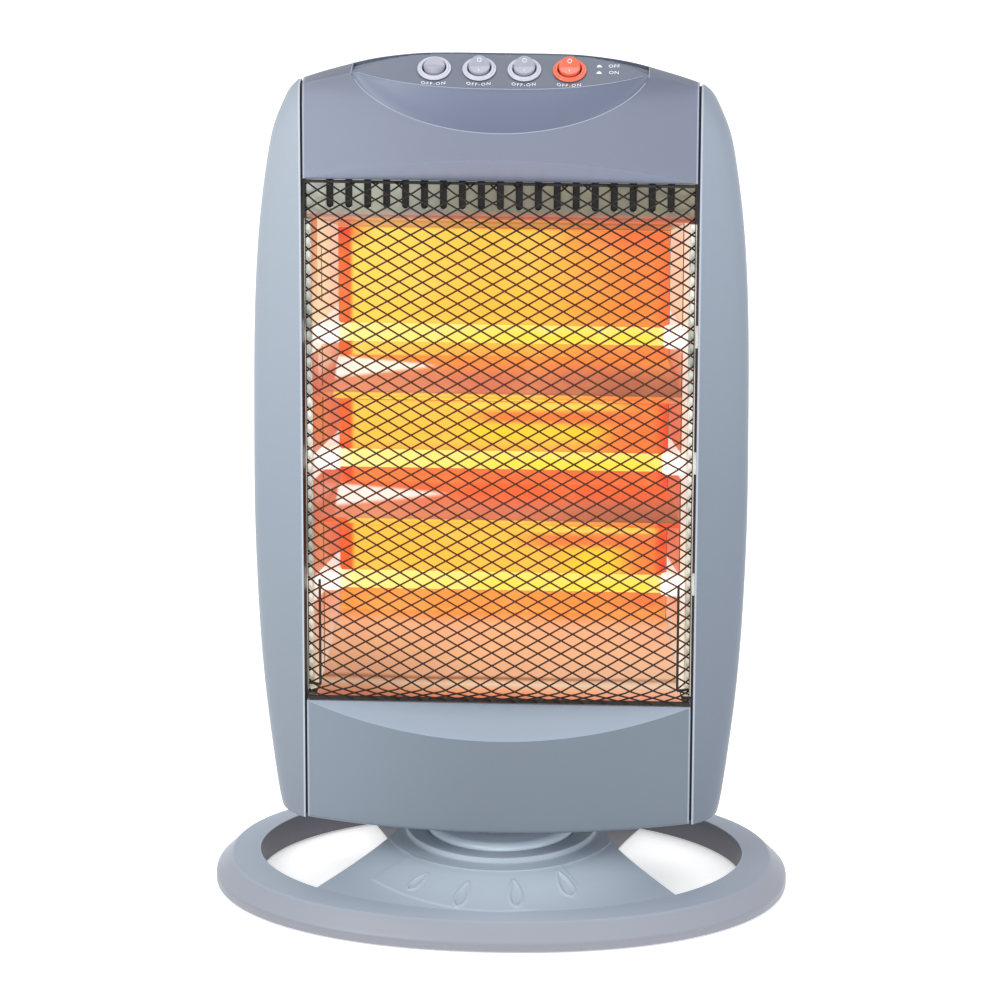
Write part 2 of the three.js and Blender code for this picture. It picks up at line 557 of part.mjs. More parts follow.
add('retaining_ring', latheZ([[20.3, 8.6], [25.4, 8.6], [25.4, 11.8], [20.3, 11.8]], 28), STEEL, 0.35, 1);
{
  let m = solid(cylZ(CRANK_X, CRANK_Y, 24.5, 83, 101, 28));
  for (const a of [80, 145, 215]) {
    const lx = CRANK_X + 27 * Math.cos(rad(a)), ly = CRANK_Y + 27 * Math.sin(rad(a));
    m = m.add(solid(cylZ(lx, ly, 3.6, 59.1, 86, 12)));
  }
  m = m.subtract(solid(cylZ(CRANK_X, CRANK_Y, 3.08, 80, 96, 32)));
  add('oscillation_motor', m, 0xb0b0b0, 0.4, 0.8);
  let c = solid(cylZ(CRANK_X, CRANK_Y, 15, 77, 80, 32));
  c = c.add(solid(cylZ(CRANK_X, CRANK_Y, 3, 79, 94, 32)));
  c = c.add(solid(cylZ(CRANK_X, CRANK_Y + CRANK_R, 2, 72.8, 78, 24)));
  add('crank', c, 0xe8e4da, 0.5, 0);
  // link from the crank pin towards the fixed anchor pin
  const ax = CRANK_X, ay = CRANK_Y + CRANK_R, bx = 0, by = -20;
  const L = Math.hypot(bx - ax, by - ay), an = Math.atan2(by - ay, bx - ax);
  const s = new THREE.Shape();
  s.absarc(0, 0, 4.6, Math.PI / 2, Math.PI * 1.5, false);
  s.absarc(L, 0, 4.6, -Math.PI / 2, Math.PI / 2, false);
  const lg = new THREE.ExtrudeGeometry(s, { depth: 2.6, bevelEnabled: false, steps: 1, curveSegments: 6 });
  lg.rotateZ(an);
  lg.translate(ax, ay, 73.4);
  const lk = solid(lg).subtract(solid(cylZ(ax, ay, 2.07, 70, 80, 24))).subtract(solid(cylZ(bx, by, 2.6, 70, 80, 20)));
  add('link_arm', lk, 0xd8d4ca, 0.5, 0);
}
{
  // fixed post through the hollow neck, and the arm clamped on its top
  let p = solid(latheZ([[5, 4.8], [15, 4.8], [15, 7.4], [8, 7.4], [8, 69], [5, 69]], 24));
  add('anchor_post', p, STEEL, 0.4, 1);
  const s = new THREE.Shape();
  s.absarc(0, 0, 13, Math.PI * 0.08, Math.PI * 0.92, false);
  s.absarc(0, -20, 5.5, Math.PI, Math.PI * 2, false);
  const g = new THREE.ExtrudeGeometry(s, { depth: 3, bevelEnabled: false, steps: 1, curveSegments: 8 });
  g.translate(0, 0, 65.6);
  const arm = solid(g).subtract(solid(cylZ(0, 0, 8.4, 60, 75, 24))).add(solid(cylZ(0, -20, 2.5, 67, 72.4, 20)));
  add('anchor_arm', arm, STEEL, 0.4, 1);
}
add('terminal_block', box(30, 66, -6, 10, 59.2, 72), 0xe6e2d6, 0.6, 0);
add('thermal_cutout', latheZ([[0, 0], [8, 0], [8, 5], [5, 5.4], [5, 9], [0, 9]], 20).rotateX(-Math.PI / 2).translate(-40, 22.4, 400), 0xb8a890, 0.5, 0.4);

// ---------------------------------------------------------------- base
const ell = (a, b, z, n = 48, p = 2) => Array.from({ length: n }, (_, i) => {
  const t = Math.PI * 2 * i / n;
  const c = Math.cos(t), s = Math.sin(t);
  return [a * Math.sign(c) * Math.abs(c) ** (2 / p), b * Math.sign(s) * Math.abs(s) ** (2 / p), z];
});
function baseSolid(t) {
  const rings = [];
  const B = BASE_BEVEL;
  if (t === 0) {
    const m = 48, p = BASE_SQUARE;
    rings.push(ell(BASE_A - 0.5, BASE_B - 0.5, BASE_RIM_Z0, m, p), ell(BASE_A, BASE_B, BASE_RIM_Z0 + 0.5, m, p), ell(BASE_A, BASE_B, BASE_WALL_Z, m, p),
      ell(BASE_A - B, BASE_B - B, BASE_WALL_Z + B, m, p), ell(HOLE_A, HOLE_B, RING_TOP_Z), ell(HUB_R, HUB_R, HUB_Z), ell(STEP_R + 0.2, STEP_R + 0.2, HUB_Z),
      ell(STEP_R - 0.2, STEP_R - 0.2, STEP_Z), ell(20, 20, STEP_Z));
  } else {
    const m = 32, p = BASE_SQUARE;
    rings.push(ell(BASE_A - t, BASE_B - t, -2, m, p), ell(BASE_A - t, BASE_B - t, BASE_WALL_Z - 0.6 * t, m, p), ell(BASE_A - B - 0.7 * t, BASE_B - B - 0.7 * t, BASE_WALL_Z + B - 0.8 * t, m, p),
      ell(HOLE_A, HOLE_B, RING_TOP_Z - t, m), ell(HUB_R, HUB_R, HUB_Z - t, m), ell(20, 20, HUB_Z - t, m));
  }
  return loft(rings);
}
function holeShape(side, o) {
  // outline of one opening, grown outwards by o
  const a = HOLE_A + o, b = HOLE_B + o, w = HOLE_WAIST - o;
  const wx = (y) => Math.sqrt(w * w + ((y > 0 ? HOLE_FLARE_REAR : HOLE_FLARE) * y) ** 2);
  // corners where bridge and ellipse meet, in front and behind
  const corner = (d) => {
    let yc = 0;
    for (let y = 0; y < b; y += 0.05) if (wx(d * y) < a * Math.sqrt(1 - (y / b) ** 2)) yc = y;
    return yc;
  };
  const yf = corner(-1), yr = corner(1);
  const pts = [];
  const t0 = Math.asin(yf / b), t1 = Math.asin(yr / b);
  for (let i = 0; i <= 12; i++) {
    const t = -t0 + (t0 + t1) * i / 12;
    pts.push([a * Math.cos(t), b * Math.sin(t)]);
  }
  for (let i = 1; i < 7; i++) {
    const y = yr - (yr + yf) * i / 7;
    pts.push([wx(y), y]);
  }
  return pts.map(([x, y]) => [side * x, y]);
}
{
  let A = solid(baseSolid(0));
  let B = solid(baseSolid(WALL));
  let cover = A.subtract(B);
  for (const s of [-1, 1]) {
    cover = cover.add(solid(prismZ(holeShape(s, 2.2), BASE_RIM_Z0 + 0.6, 60)).intersect(A));
  }
  for (const s of [-1, 1]) cover = cover.subtract(solid(prismZ(holeShape(s, 0), -10, 80)));
  // bearing boss under the hub
  cover = cover.add(solid(cylZ(0, 0, 27.5, 12.8, HUB_Z - 1, 40)));
  // screw bosses
  for (const x of [-36, 36]) for (const y of [-84, 84]) cover = cover.add(solid(cylZ(x, y, 4.2, 4.8, 21, 16)));
  cover = cover.subtract(solid(cylZ(0, 0, COLLAR_R + 0.6, 33.4, 50, 32)));
  cover = cover.subtract(solid(cylZ(0, 0, 23.3, 5, 50, 40)));
  for (const x of [-36, 36]) for (const y of [-84, 84]) cover = cover.subtract(solid(cylZ(x, y, 1.9, 0, 15, 14)));
  add('base_cover', cover, GREY, 0.45, 0);

  let pl = solid(loft([ell(BASE_A - WALL - 0.5, BASE_B - WALL - 0.5, 2.5, 32, BASE_SQUARE), ell(BASE_A - WALL - 0.5, BASE_B - WALL - 0.5, 4.5, 32, BASE_SQUARE)]));
  for (const s of [-1, 1]) pl = pl.subtract(solid(prismZ(holeShape(s, 2.6), -10, 80)));
  for (const sx of [-1, 1]) for (const sy of [-1, 1]) pl = pl.subtract(solid(cylZ(sx * FOOT[0], sy * FOOT[1], 4, -5, 10, 16)));
  for (const x of [-36, 36]) for (const y of [-84, 84]) pl = pl.subtract(solid(cylZ(x, y, 2.2, -5, 10, 14)));
  pl = pl.subtract(solid(cylZ(0, -86, 4.6, -5, 10, 24)));
  add('base_underplate', pl, DARK, 0.6, 0);
}
add('swivel_bush', latheZ([[NECK_R + NECK_FIT, 12.8], [23, 12.8], [23, 33.1], [NECK_R + NECK_FIT, 33.1]], 36), 0xd8d2c4, 0.5, 0);
let n = 0;
for (const sx of [-1, 1]) {
  for (const sy of [-1, 1]) {
    n += 1;
    const f = latheZ([[0, 0], [7.2, 0], [7.8, 0.6], [7.8, 2.2], [3.6, 2.2], [3.6, 7], [0, 7]], 14);
    f.translate(sx * FOOT[0], sy * FOOT[1], 0);
    add(`foot_${n}`, f, 0x222222, 0.9, 0);
  }
}
n = 0;
for (const x of [-36, 36]) {
  for (const y of [-84, 84]) {
    n += 1;
    const sc = latheZ([[0, 0.6], [3.0, 0.6], [3.6, 1.2], [3.6, 2.2], [1.55, 2.2], [1.55, 13.5], [0, 13.5]], 10);
    sc.translate(x, y, 0);
    add(`base_screw_${n}`, sc, STEEL, 0.35, 1);
  }
}
{
  let b = solid(box(-15, 15, -94, -78, 4.8, 18.5)).subtract(solid(cylZ(0, -86, 4.3, 0, 16.5, 16)));
  add('tip_switch_body', b, 0x2a2a2e, 0.6, 0);
  const p = latheZ([[0, 0], [2.6, 0], [4.0, 1.2], [4.0, 11.5], [0, 11.5]], 16);
  p.translate(0, -86, 0);
  add('tip_plunger', p, 0xd0d0d0, 0.5, 0);
}

export default group;
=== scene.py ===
import bpy
import bmesh
import json
import math
import numpy as np
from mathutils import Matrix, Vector

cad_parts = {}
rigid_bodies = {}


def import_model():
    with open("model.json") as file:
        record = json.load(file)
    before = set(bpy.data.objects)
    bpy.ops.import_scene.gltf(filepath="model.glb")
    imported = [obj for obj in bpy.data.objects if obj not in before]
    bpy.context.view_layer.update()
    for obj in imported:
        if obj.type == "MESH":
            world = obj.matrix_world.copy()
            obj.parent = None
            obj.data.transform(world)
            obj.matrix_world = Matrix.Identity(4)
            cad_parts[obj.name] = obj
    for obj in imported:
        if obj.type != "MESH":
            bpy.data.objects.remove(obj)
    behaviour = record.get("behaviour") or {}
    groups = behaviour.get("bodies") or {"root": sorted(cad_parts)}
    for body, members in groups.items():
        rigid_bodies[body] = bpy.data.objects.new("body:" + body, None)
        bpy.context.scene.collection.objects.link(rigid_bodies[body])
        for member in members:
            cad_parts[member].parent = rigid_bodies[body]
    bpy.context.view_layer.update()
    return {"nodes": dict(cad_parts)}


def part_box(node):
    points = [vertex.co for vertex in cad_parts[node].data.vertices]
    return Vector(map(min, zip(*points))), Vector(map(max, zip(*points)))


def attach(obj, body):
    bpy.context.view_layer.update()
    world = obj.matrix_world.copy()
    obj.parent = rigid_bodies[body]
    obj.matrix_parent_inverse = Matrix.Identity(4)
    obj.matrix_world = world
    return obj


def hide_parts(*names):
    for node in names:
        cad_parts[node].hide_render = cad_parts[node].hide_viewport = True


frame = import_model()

scene = bpy.context.scene
MM = 0.001

# ------------------------------------------------------------------ small helpers


def lin(c):
    out = []
    for v in c[:3]:
        v = v / 255.0
        out.append(v / 12.92 if v <= 0.04045 else ((v + 0.055) / 1.055) ** 2.4)
    return (out[0], out[1], out[2], 1.0)


def clamp01(v):
    return min(1.0, max(0.0, v))


class Graph:
    """Builds shader nodes from short calls."""

    def __init__(self, mat):
        mat.use_nodes = True
        self.t = mat.node_tree
        self.t.nodes.clear()
        self.co = None

    def node(self, kind, **props):
        n = self.t.nodes.new(kind)
        for k, v in props.items():
            setattr(n, k, v)
        return n

    def put(self, socket, value):
        if isinstance(value, bpy.types.NodeSocket):
            self.t.links.new(value, socket)
        elif value is not None:
            socket.default_value = value

    def math(self, op, a, b=None, c=None, clamp=False):
        n = self.node("ShaderNodeMath", operation=op, use_clamp=clamp)
        for i, v in enumerate((a, b, c)):
            if v is not None:
                self.put(n.inputs[i], v)
        return n.outputs[0]

    def xyz(self):
        if self.co is None:
            tc = self.node("ShaderNodeTexCoord")
            sep = self.node("ShaderNodeSeparateXYZ")
            self.t.links.new(tc.outputs["Object"], sep.inputs[0])
            self.co = (tc.outputs["Object"], sep.outputs[0], sep.outputs[1], sep.outputs[2])
        return self.co

    def step(self, v, lo, hi):
        """0 below lo, 1 above hi, smooth between (lo may be above hi)."""
        n = self.node("ShaderNodeMapRange", interpolation_type="SMOOTHSTEP", clamp=True)
        self.put(n.inputs["Value"], v)
        n.inputs["From Min"].default_value = min(lo, hi)
        n.inputs["From Max"].default_value = max(lo, hi)
        n.inputs["To Min"].default_value = 0.0 if lo < hi else 1.0
        n.inputs["To Max"].default_value = 1.0 if lo < hi else 0.0
        return n.outputs["Result"]

    def mix(self, f, a, b, blend="MIX"):
        n = self.node("ShaderNodeMix", data_type="RGBA", blend_type=blend)
        self.put(n.inputs[0], f)
        self.put(n.inputs[6], a)
        self.put(n.inputs[7], b)
        return n.outputs[2]

    def ramp(self, f, stops, interp="LINEAR"):
        n = self.node("ShaderNodeValToRGB")
        r = n.color_ramp
        r.interpolation = interp
        while len(r.elements) > 1:
            r.elements.remove(r.elements[-1])
        r.elements[0].position = stops[0][0]
        r.elements[0].color = lin(stops[0][1])
        for p, c in stops[1:]:
            e = r.elements.new(p)
            e.color = lin(c)
        self.put(n.inputs[0], f)
        return n.outputs[0]

    def noise(self, scale, detail=2.0, rough=0.5, vec=None, stretch=None):
        co = self.xyz()[0] if vec is None else vec
        if stretch:
            m = self.node("ShaderNodeMapping")
            m.inputs["Scale"].default_value = stretch
            self.t.links.new(co, m.inputs["Vector"])
            co = m.outputs[0]
        n = self.node("ShaderNodeTexNoise")
        self.t.links.new(co, n.inputs["Vector"])
        n.inputs["Scale"].default_value = scale
        n.inputs["Detail"].default_value = detail
        n.inputs["Roughness"].default_value = rough
        return n.outputs[0]

    def bump(self, height, strength, dist, normal=None):
        n = self.node("ShaderNodeBump")
        n.inputs["Strength"].default_value = strength
        n.inputs["Distance"].default_value = dist
        self.put(n.inputs["Height"], height)
        if normal is not None:
            self.put(n.inputs["Normal"], normal)
        return n.outputs[0]

    def edge(self, lo=0.505, hi=0.56):
        g = self.node("ShaderNodeNewGeometry")
        return self.step(g.outputs["Pointiness"], lo, hi)

    def shader(self, **inputs):
        b = self.node("ShaderNodeBsdfPrincipled")
        for k, v in inputs.items():
            self.put(b.inputs[k.replace("_", " ")], v)
        o = self.node("ShaderNodeOutputMaterial")
        self.t.links.new(b.outputs[0], o.inputs["Surface"])
        return b


def remap(g, v, lo, hi):
    """0..1 value to lo..hi"""
    return g.math("MULTIPLY_ADD", v, hi - lo, lo)


def plastic(name, color, rough=0.42, spec=0.5, grain=0.035, mottling=0.025, wear_and_edge_sheen=0.35, coat=0.0, tone=None, sss=0.0):
    """Moulded plastic: fine spark texture, faint flow mottling, paler edges that are partly wear and partly a painted
    highlight.
    """
    mat = bpy.data.materials.new(name)
    g = Graph(mat)
    co, x, y, z = g.xyz()
    base = lin(color)
    dark = tuple(c * (1 - mottling * 2) for c in base[:3]) + (1,)
    pale = tuple(min(1, c * (1 + mottling * 2)) for c in base[:3]) + (1,)
    big = g.noise(9.0, 3.0, 0.55)
    fine = g.noise(320.0, 2.0, 0.5)
    col = g.mix(big, dark, pale)
    col = g.mix(g.math("MULTIPLY", fine, 0.10), col, tuple(c * 0.86 for c in base[:3]) + (1,))
    if tone:
        col = tone(g, col)
    # paler edges: partly wear, partly a painted highlight
    edge = g.edge()
    col = g.mix(g.math("MULTIPLY", edge, wear_and_edge_sheen * 0.45), col, tuple(min(1, c * 1.35 + 0.04) for c in base[:3]) + (1,))
    r = remap(g, g.noise(26.0, 3.0, 0.6), rough - 0.05, rough + 0.06)
    spark = g.noise(1500.0, 2.0, 0.55)
    n1 = g.bump(spark, grain * 4.0, 0.00006)
    n2 = g.bump(big, 0.05, 0.0006, n1)
    g.shader(Base_Color=col, Roughness=r, Normal=n2, Specular_IOR_Level=spec, Coat_Weight=coat, Coat_Roughness=0.18)
    return mat


def metal(name, color, rough=0.3, brush=None, wear_and_edge_sheen=0.2, spots=0.05):
    """Sheet or turned metal with brushing, handling marks and uneven gloss."""
    mat = bpy.data.materials.new(name)
    g = Graph(mat)
    base = lin(color)
    st = brush or (1.0, 1.0, 18.0)
    lines = g.noise(900.0, 3.0, 0.6, stretch=st)
    marks = g.noise(60.0, 4.0, 0.65)
    col = g.mix(g.math("MULTIPLY", lines, 0.25), base, tuple(c * 0.72 for c in base[:3]) + (1,))
    col = g.mix(g.math("MULTIPLY", g.step(marks, 0.55, 0.75), spots * 6), col, tuple(c * 0.55 for c in base[:3]) + (1,))
    # paler edges: partly wear, partly a painted highlight
    col = g.mix(g.math("MULTIPLY", g.edge(), wear_and_edge_sheen), col, (0.9, 0.9, 0.9, 1))
    r = remap(g, marks, rough - 0.08, rough + 0.12)
    g.shader(Base_Color=col, Metallic=1.0, Roughness=r, Normal=g.bump(lines, 0.12, 0.00008))
    return mat


# ------------------------------------------------------------------ mesh helpers


def weld(bm, dist=2e-6):
    bmesh.ops.remove_doubles(bm, verts=bm.verts, dist=dist)
    bmesh.ops.dissolve_degenerate(bm, edges=bm.edges, dist=dist)


def build(name, V, F, mats, body, nodes=(), sharp=35, centre=None, index=None, smooth=True):
    """One piece from vertices in mm and faces."""
    me = bpy.data.meshes.new(name)
    me.from_pydata([tuple(float(c) * MM for c in v) for v in V], [], [tuple(int(i) for i in f) for f in F])
    mats = mats if isinstance(mats, (list, tuple)) else [mats]
    for m in mats:
        me.materials.append(m)
    if index is not None:
        me.polygons.foreach_set("material_index", np.array(index, np.int32))
    bm = bmesh.new()
    bm.from_mesh(me)
    weld(bm)
    bmesh.ops.recalc_face_normals(bm, faces=bm.faces)
    if centre is not None:
        c = Vector(centre) * MM
        s = 0.0
        for f in bm.faces:
            s += f.calc_area() * f.normal.dot(f.calc_center_median() - c)
        if s < 0:
            bmesh.ops.reverse_faces(bm, faces=bm.faces)
    bm.to_mesh(me)
    bm.free()
    ob = bpy.data.objects.new(name, me)
    scene.collection.objects.link(ob)
    if smooth:
        me.shade_smooth()
        if sharp:
            me.set_sharp_from_angle(angle=math.radians(sharp))
    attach(ob, body)
    if nodes:
        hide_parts(*nodes)
    return ob


def finish_mods(ob, sharp=35):
    """Turns the object's modifiers into plain mesh."""
    dg = bpy.context.evaluated_depsgraph_get()
    me = bpy.data.meshes.new_from_object(ob.evaluated_get(dg), preserve_all_data_layers=True, depsgraph=dg)
    ob.modifiers.clear()
    old = ob.data
    ob.data = me
    me.name = ob.name
    bpy.data.meshes.remove(old)
    me.shade_smooth()
    if sharp:
        me.set_sharp_from_angle(angle=math.radians(sharp))
    return ob


def thicken(ob, mm=2.2, bevel=0.45, segs=2, cutters=(), angle=40):
    m = ob.modifiers.new("thick", "SOLIDIFY")
    m.thickness = mm * MM
    m.offset = -1.0
    m.use_even_offset = False
    for c in cutters:
        b = ob.modifiers.new("cut", "BOOLEAN")
        b.operation = "DIFFERENCE"
        b.solver = "EXACT"
        b.object = c
    if bevel:
        b = ob.modifiers.new("edge", "BEVEL")
        b.width = bevel * MM
        b.segments = segs
        b.limit_method = "ANGLE"
        b.angle_limit = math.radians(angle)
        b.use_clamp_overlap = True
    finish_mods(ob)
    for c in cutters:
        bpy.data.objects.remove(c, do_unlink=True)
    return ob


def grid_faces(rows, cols, closed=False, offset=0, flip=False):
    F = []
    for r in range(rows - 1):
        for c in range(cols if closed else cols - 1):
            a = offset + r * cols + c
            b = offset + r * cols + (c + 1) % cols
            q = (a, b, b + cols, a + cols)
            F.append(q[::-1] if flip else q)
    return F


def lathe(pts, n=64, at=(0, 0, 0), axis="z", closed=True):
    """Vertices and faces of a turned profile of [radius, height]; axis z, y or x."""
    V, F = [], []
    k = len(pts)
    for i in range(n):
        a = 2 * math.pi * i / n
        for r, h in pts:
            p = (r * math.cos(a), r * math.sin(a), h)
            if axis == "y":
                p = (p[0], p[2], -p[1])
            elif axis == "x":
                p = (p[2], p[0], p[1])
            V.append((p[0] + at[0], p[1] + at[1], p[2] + at[2]))
    for i in range(n):
        j = (i + 1) % n
        for c in range(k if closed else k - 1):
            d = (c + 1) % k
            F.append((i * k + c, j * k + c, j * k + d, i * k + d))
    return V, F


def rounded(pts, r=0.4, steps=3, closed=True):
    """Rounds the corners of a profile polyline."""
    out = []
    n = len(pts)
    for i in range(n):
        p = np.array(pts[i], float)
        if not closed and i in (0, n - 1):
            out.append(tuple(p))
            continue
        a = np.array(pts[i - 1], float)
        b = np.array(pts[(i + 1) % n], float)
        la, lb = np.linalg.norm(a - p), np.linalg.norm(b - p)
        if la < 1e-9 or lb < 1e-9:
            out.append(tuple(p))
            continue
        d = min(r, la * 0.45, lb * 0.45)
        s, e = p + (a - p) / la * d, p + (b - p) / lb * d
        for k in range(steps + 1):
            t = k / steps
            q = (1 - t) ** 2 * s + 2 * t * (1 - t) * p + t * t * e
            out.append(tuple(q))
    return out


def tube_along(P, r, n=6, closed=False, up=(0, 0, 1)):
    """A round wire along points."""
    P = np.asarray(P, float)
    T = np.roll(P, -1, 0) - np.roll(P, 1, 0) if closed else np.gradient(P, axis=0)
    T /= np.linalg.norm(T, axis=1)[:, None] + 1e-12
    U = np.cross(T, np.array(up, float))
    bad = np.linalg.norm(U, axis=1) < 1e-6
    U[bad] = np.cross(T[bad], np.array((1.0, 0.3, 0.1)))
    U /= np.linalg.norm(U, axis=1)[:, None]
    W = np.cross(U, T)
    V, F = [], []
    m = len(P)
    rr = np.broadcast_to(np.asarray(r, float), (m,))
    for i in range(m):
        for k in range(n):
            a = 2 * math.pi * k / n
            V.append(P[i] + (U[i] * math.cos(a) + W[i] * math.sin(a)) * rr[i])
    for i in range(m if closed else m - 1):
        j = (i + 1) % m
        for k in range(n):
            l = (k + 1) % n
            F.append((i * n + k, i * n + l, j * n + l, j * n + k))
    if not closed:
        F.append(tuple(range(n)))
        F.append(tuple((m - 1) * n + k for k in range(n))[::-1])
    return V, F


def join(parts):
    V, F = [], []
    for v, f in parts:
        o = len(V)
        V.extend(v)
        F.extend(tuple(i + o for i in q) for q in f)
    return V, F


def loose(name, V, F):
    """A helper solid used as a cutter."""
    me = bpy.data.meshes.new(name)
    me.from_pydata([tuple(float(c) * MM for c in v) for v in V], [], F)
    bm = bmesh.new()
    bm.from_mesh(me)
    weld(bm)
    bmesh.ops.recalc_face_normals(bm, faces=bm.faces)
    bm.to_mesh(me)
    bm.free()
    ob = bpy.data.objects.new(name, me)
    scene.collection.objects.link(ob)
    ob.hide_render = True
    return ob


def prism(outline, lo, hi, axis="z"):
    """Closed solid from an outline; axis says which way it is extruded."""
    n = len(outline)
    V = []
    for h in (lo, hi):
        for a, b in outline:
            V.append({"z": (a, b, h), "y": (a, h, b), "x": (h, a, b)}[axis])
    F = [tuple(range(n))[::-1], tuple(range(n, 2 * n))]
    for i in range(n):
        j = (i + 1) % n
        F.append((i, j, n + j, n + i))
    return V, F


# ------------------------------------------------------------------ head envelope (same shape as the CAD)

SIDE = [(127, 53.5), (130.4, 54.8), (131.8, 58.5), (138.6, 108), (143.0, 156), (145.9, 225), (146.1, 290), (144.7, 370), (141.8, 416),
        (137.4, 453), (132.9, 477.4), (127.6, 491.7), (122.6, 501.5), (118, 506.0), (109, 509.6), (94, 514.2), (74, 519.4), (48, 522.9),
        (25, 523.75), (5, 523.9), (0.2, 523.92)]
WIN_Z0, WIN_Z1, WIN_Y = 128.5, 450.7, -40.7
TAN = math.tan(math.radians(29))
SW_X = [-38.3, -12.3, 13.7, 39.7]
SW_Y = -36.0
SW_Z = 508 + (SW_Y + 50) * TAN
TUBE_Z = [350.9, 273.0, 197.1]


def spline(points, per=7):
    P = np.array(points, float)
    out = []
    n = len(P)
    for i in range(n - 1):
        p0 = P[i - 1] if i > 0 else 2 * P[0] - P[1]
        p1, p2 = P[i], P[i + 1]
        p3 = P[i + 2] if i + 2 < n else 2 * P[-1] - P[-2]
        d1, d0, d2 = (max(np.linalg.norm(b - a) ** 0.5, 1e-6) for a, b in ((p1, p2), (p0, p1), (p2, p3)))
        for k in range(per):
            t = d0 + d1 * k / per
            A1 = (d0 - t) / d0 * p0 + t / d0 * p1
            A2 = (d0 + d1 - t) / d1 * p1 + (t - d0) / d1 * p2
            A3 = (d0 + d1 + d2 - t) / d2 * p2 + (t - d0 - d1) / d2 * p3
            B1 = (d0 + d1 - t) / (d0 + d1) * A1 + t / (d0 + d1) * A2
            B2 = (d0 + d1 + d2 - t) / (d1 + d2) * A2 + (t - d0) / (d1 + d2) * A3
            out.append((d0 + d1 - t) / d1 * B1 + (t - d0) / d1 * B2)
    out.append(P[-1])
    return np.array(out)


PROFILE = spline(SIDE)


def front_y(x):
    return -62 + 319.7 - np.sqrt(319.7 ** 2 - np.asarray(x, float) ** 2)


def lean_f(z):
    return 10 * np.clip((z - 490) / 34, 0, 1) ** 2


def lean_r(z):
    return 20 * np.clip((z - 470) / 54, 0, 1) ** 2


def fall(y, z):
    v = np.clip((z - 405) / 107, 0, 1)
    s = y + 24
    soft = np.where(s < -7, 0, np.where(s > 7, s, (s + 7) ** 2 / 28.0))
    return v * v * (3 - 2 * v) * 0.42 * soft


def bez(a, b, c, d, t):
    t = np.asarray(t, float)[:, None]
    u = 1 - t
    a, b, c, d = (np.array(p, float) for p in (a, b, c, d))
    return u ** 3 * a + 3 * u * u * t * b + 3 * u * t * t * c + t ** 3 * d


def ring_half(w, l, t=0.0, n=(30, 22, 30, 16)):
    xs = min(115.0, w - min(3.0, 0.6 * w))
    x = np.linspace(0, xs, n[0] + 1)
    out = [np.stack([x, front_y(x) + lean_f(l) + t], 1)]
    y0 = float(front_y(xs) + lean_f(l) + t)
    k = w - xs
    yw = -20.0
    if y0 > yw - 0.5:
        y0 = yw - 0.5
    out.append(bez((xs, y0), (xs + .5 * k, y0 + .24 * k), (w, yw - .58 * (yw - y0)), (w, yw), np.linspace(0, 1, n[1] + 1)[1:]))
    yb = 47 - t - float(lean_r(l))
    xr = .68 * w
    yr = yb - 3
    out.append(bez((w, yw), (w, yw + .72 * (yr - yw)), (xr + .5 * (w - xr), yr), (xr, yr), np.linspace(0, 1, n[2] + 1)[1:]))
    x = xr * (1 - np.linspace(0, 1, n[3] + 1)[1:])
    out.append(np.stack([x, yb - 3 * (x / max(xr, 1e-6)) ** 2], 1))
    return np.concatenate(out)


def crossing(v, level, start=0, stop=None):
    """Fractional index of the first crossing of level in v from start."""
    stop = len(v) - 1 if stop is None else stop
    for i in range(start, stop):
        a, b = v[i] - level, v[i + 1] - level
        if a == 0:
            return float(i)
        if a * b < 0:
            return i + a / (a - b)
    return None


def sub_curve(P, f0, f1, n):
    """n points evenly along P between fractional indices f0 and f1."""
    ks = [f0] + [k for k in range(int(math.floor(f0)) + 1, int(math.ceil(f1))) if f0 < k < f1] + [f1]
    Q = []
    for k in ks:
        i = min(int(math.floor(k)), len(P) - 2)
        Q.append(P[i] + (k - i) * (P[i + 1] - P[i]))
    Q = np.array(Q)
    s = np.concatenate([[0], np.cumsum(np.linalg.norm(np.diff(Q, axis=0), axis=1))])
    if s[-1] < 1e-9:
        return np.repeat(Q[:1], n, 0)
    t = np.linspace(0, s[-1], n)
    return np.stack([np.interp(t, s, Q[:, c]) for c in range(Q.shape[1])], 1)


def lifted(pts, l):
    return [(p[0], p[1], float(l - fall(p[1], l))) for p in pts]


# ------------------------------------------------------------------ materials

def painted_shade_by_height(stops):
    """colour of a cover by height, painted shade: darker towards the bottom, paler to the top; painted highlight on the
    edges at the seams, painted shade on the seam walls
    """
    def tone(g, col):
        co, x, y, z = g.xyz()
        t = g.math("DIVIDE", z, 0.525, clamp=True)
        # painted shade: darker towards the bottom, paler to the top
        col = g.mix(0.86, col, g.ramp(t, [(h / 0.525, c) for h, c in stops]))
        col = g.mix(g.math("MULTIPLY", g.noise(9.0, 3.0, 0.55), 0.08), col, lin((96, 106, 122)))
        ax = g.math("ABSOLUTE", x)
        # painted highlight on the rounded seam edge
        rim = g.math("MULTIPLY", g.step(ax, 0.1158, 0.1160), g.step(ax, 0.1172, 0.1166))
        col = g.mix(g.math("MULTIPLY", rim, 0.55), col, lin((196, 206, 218)))
        # painted shade on the seam's return wall
        return g.mix(g.step(ax, 0.11585, 0.11575), col, lin((26, 30, 38)))
    return tone


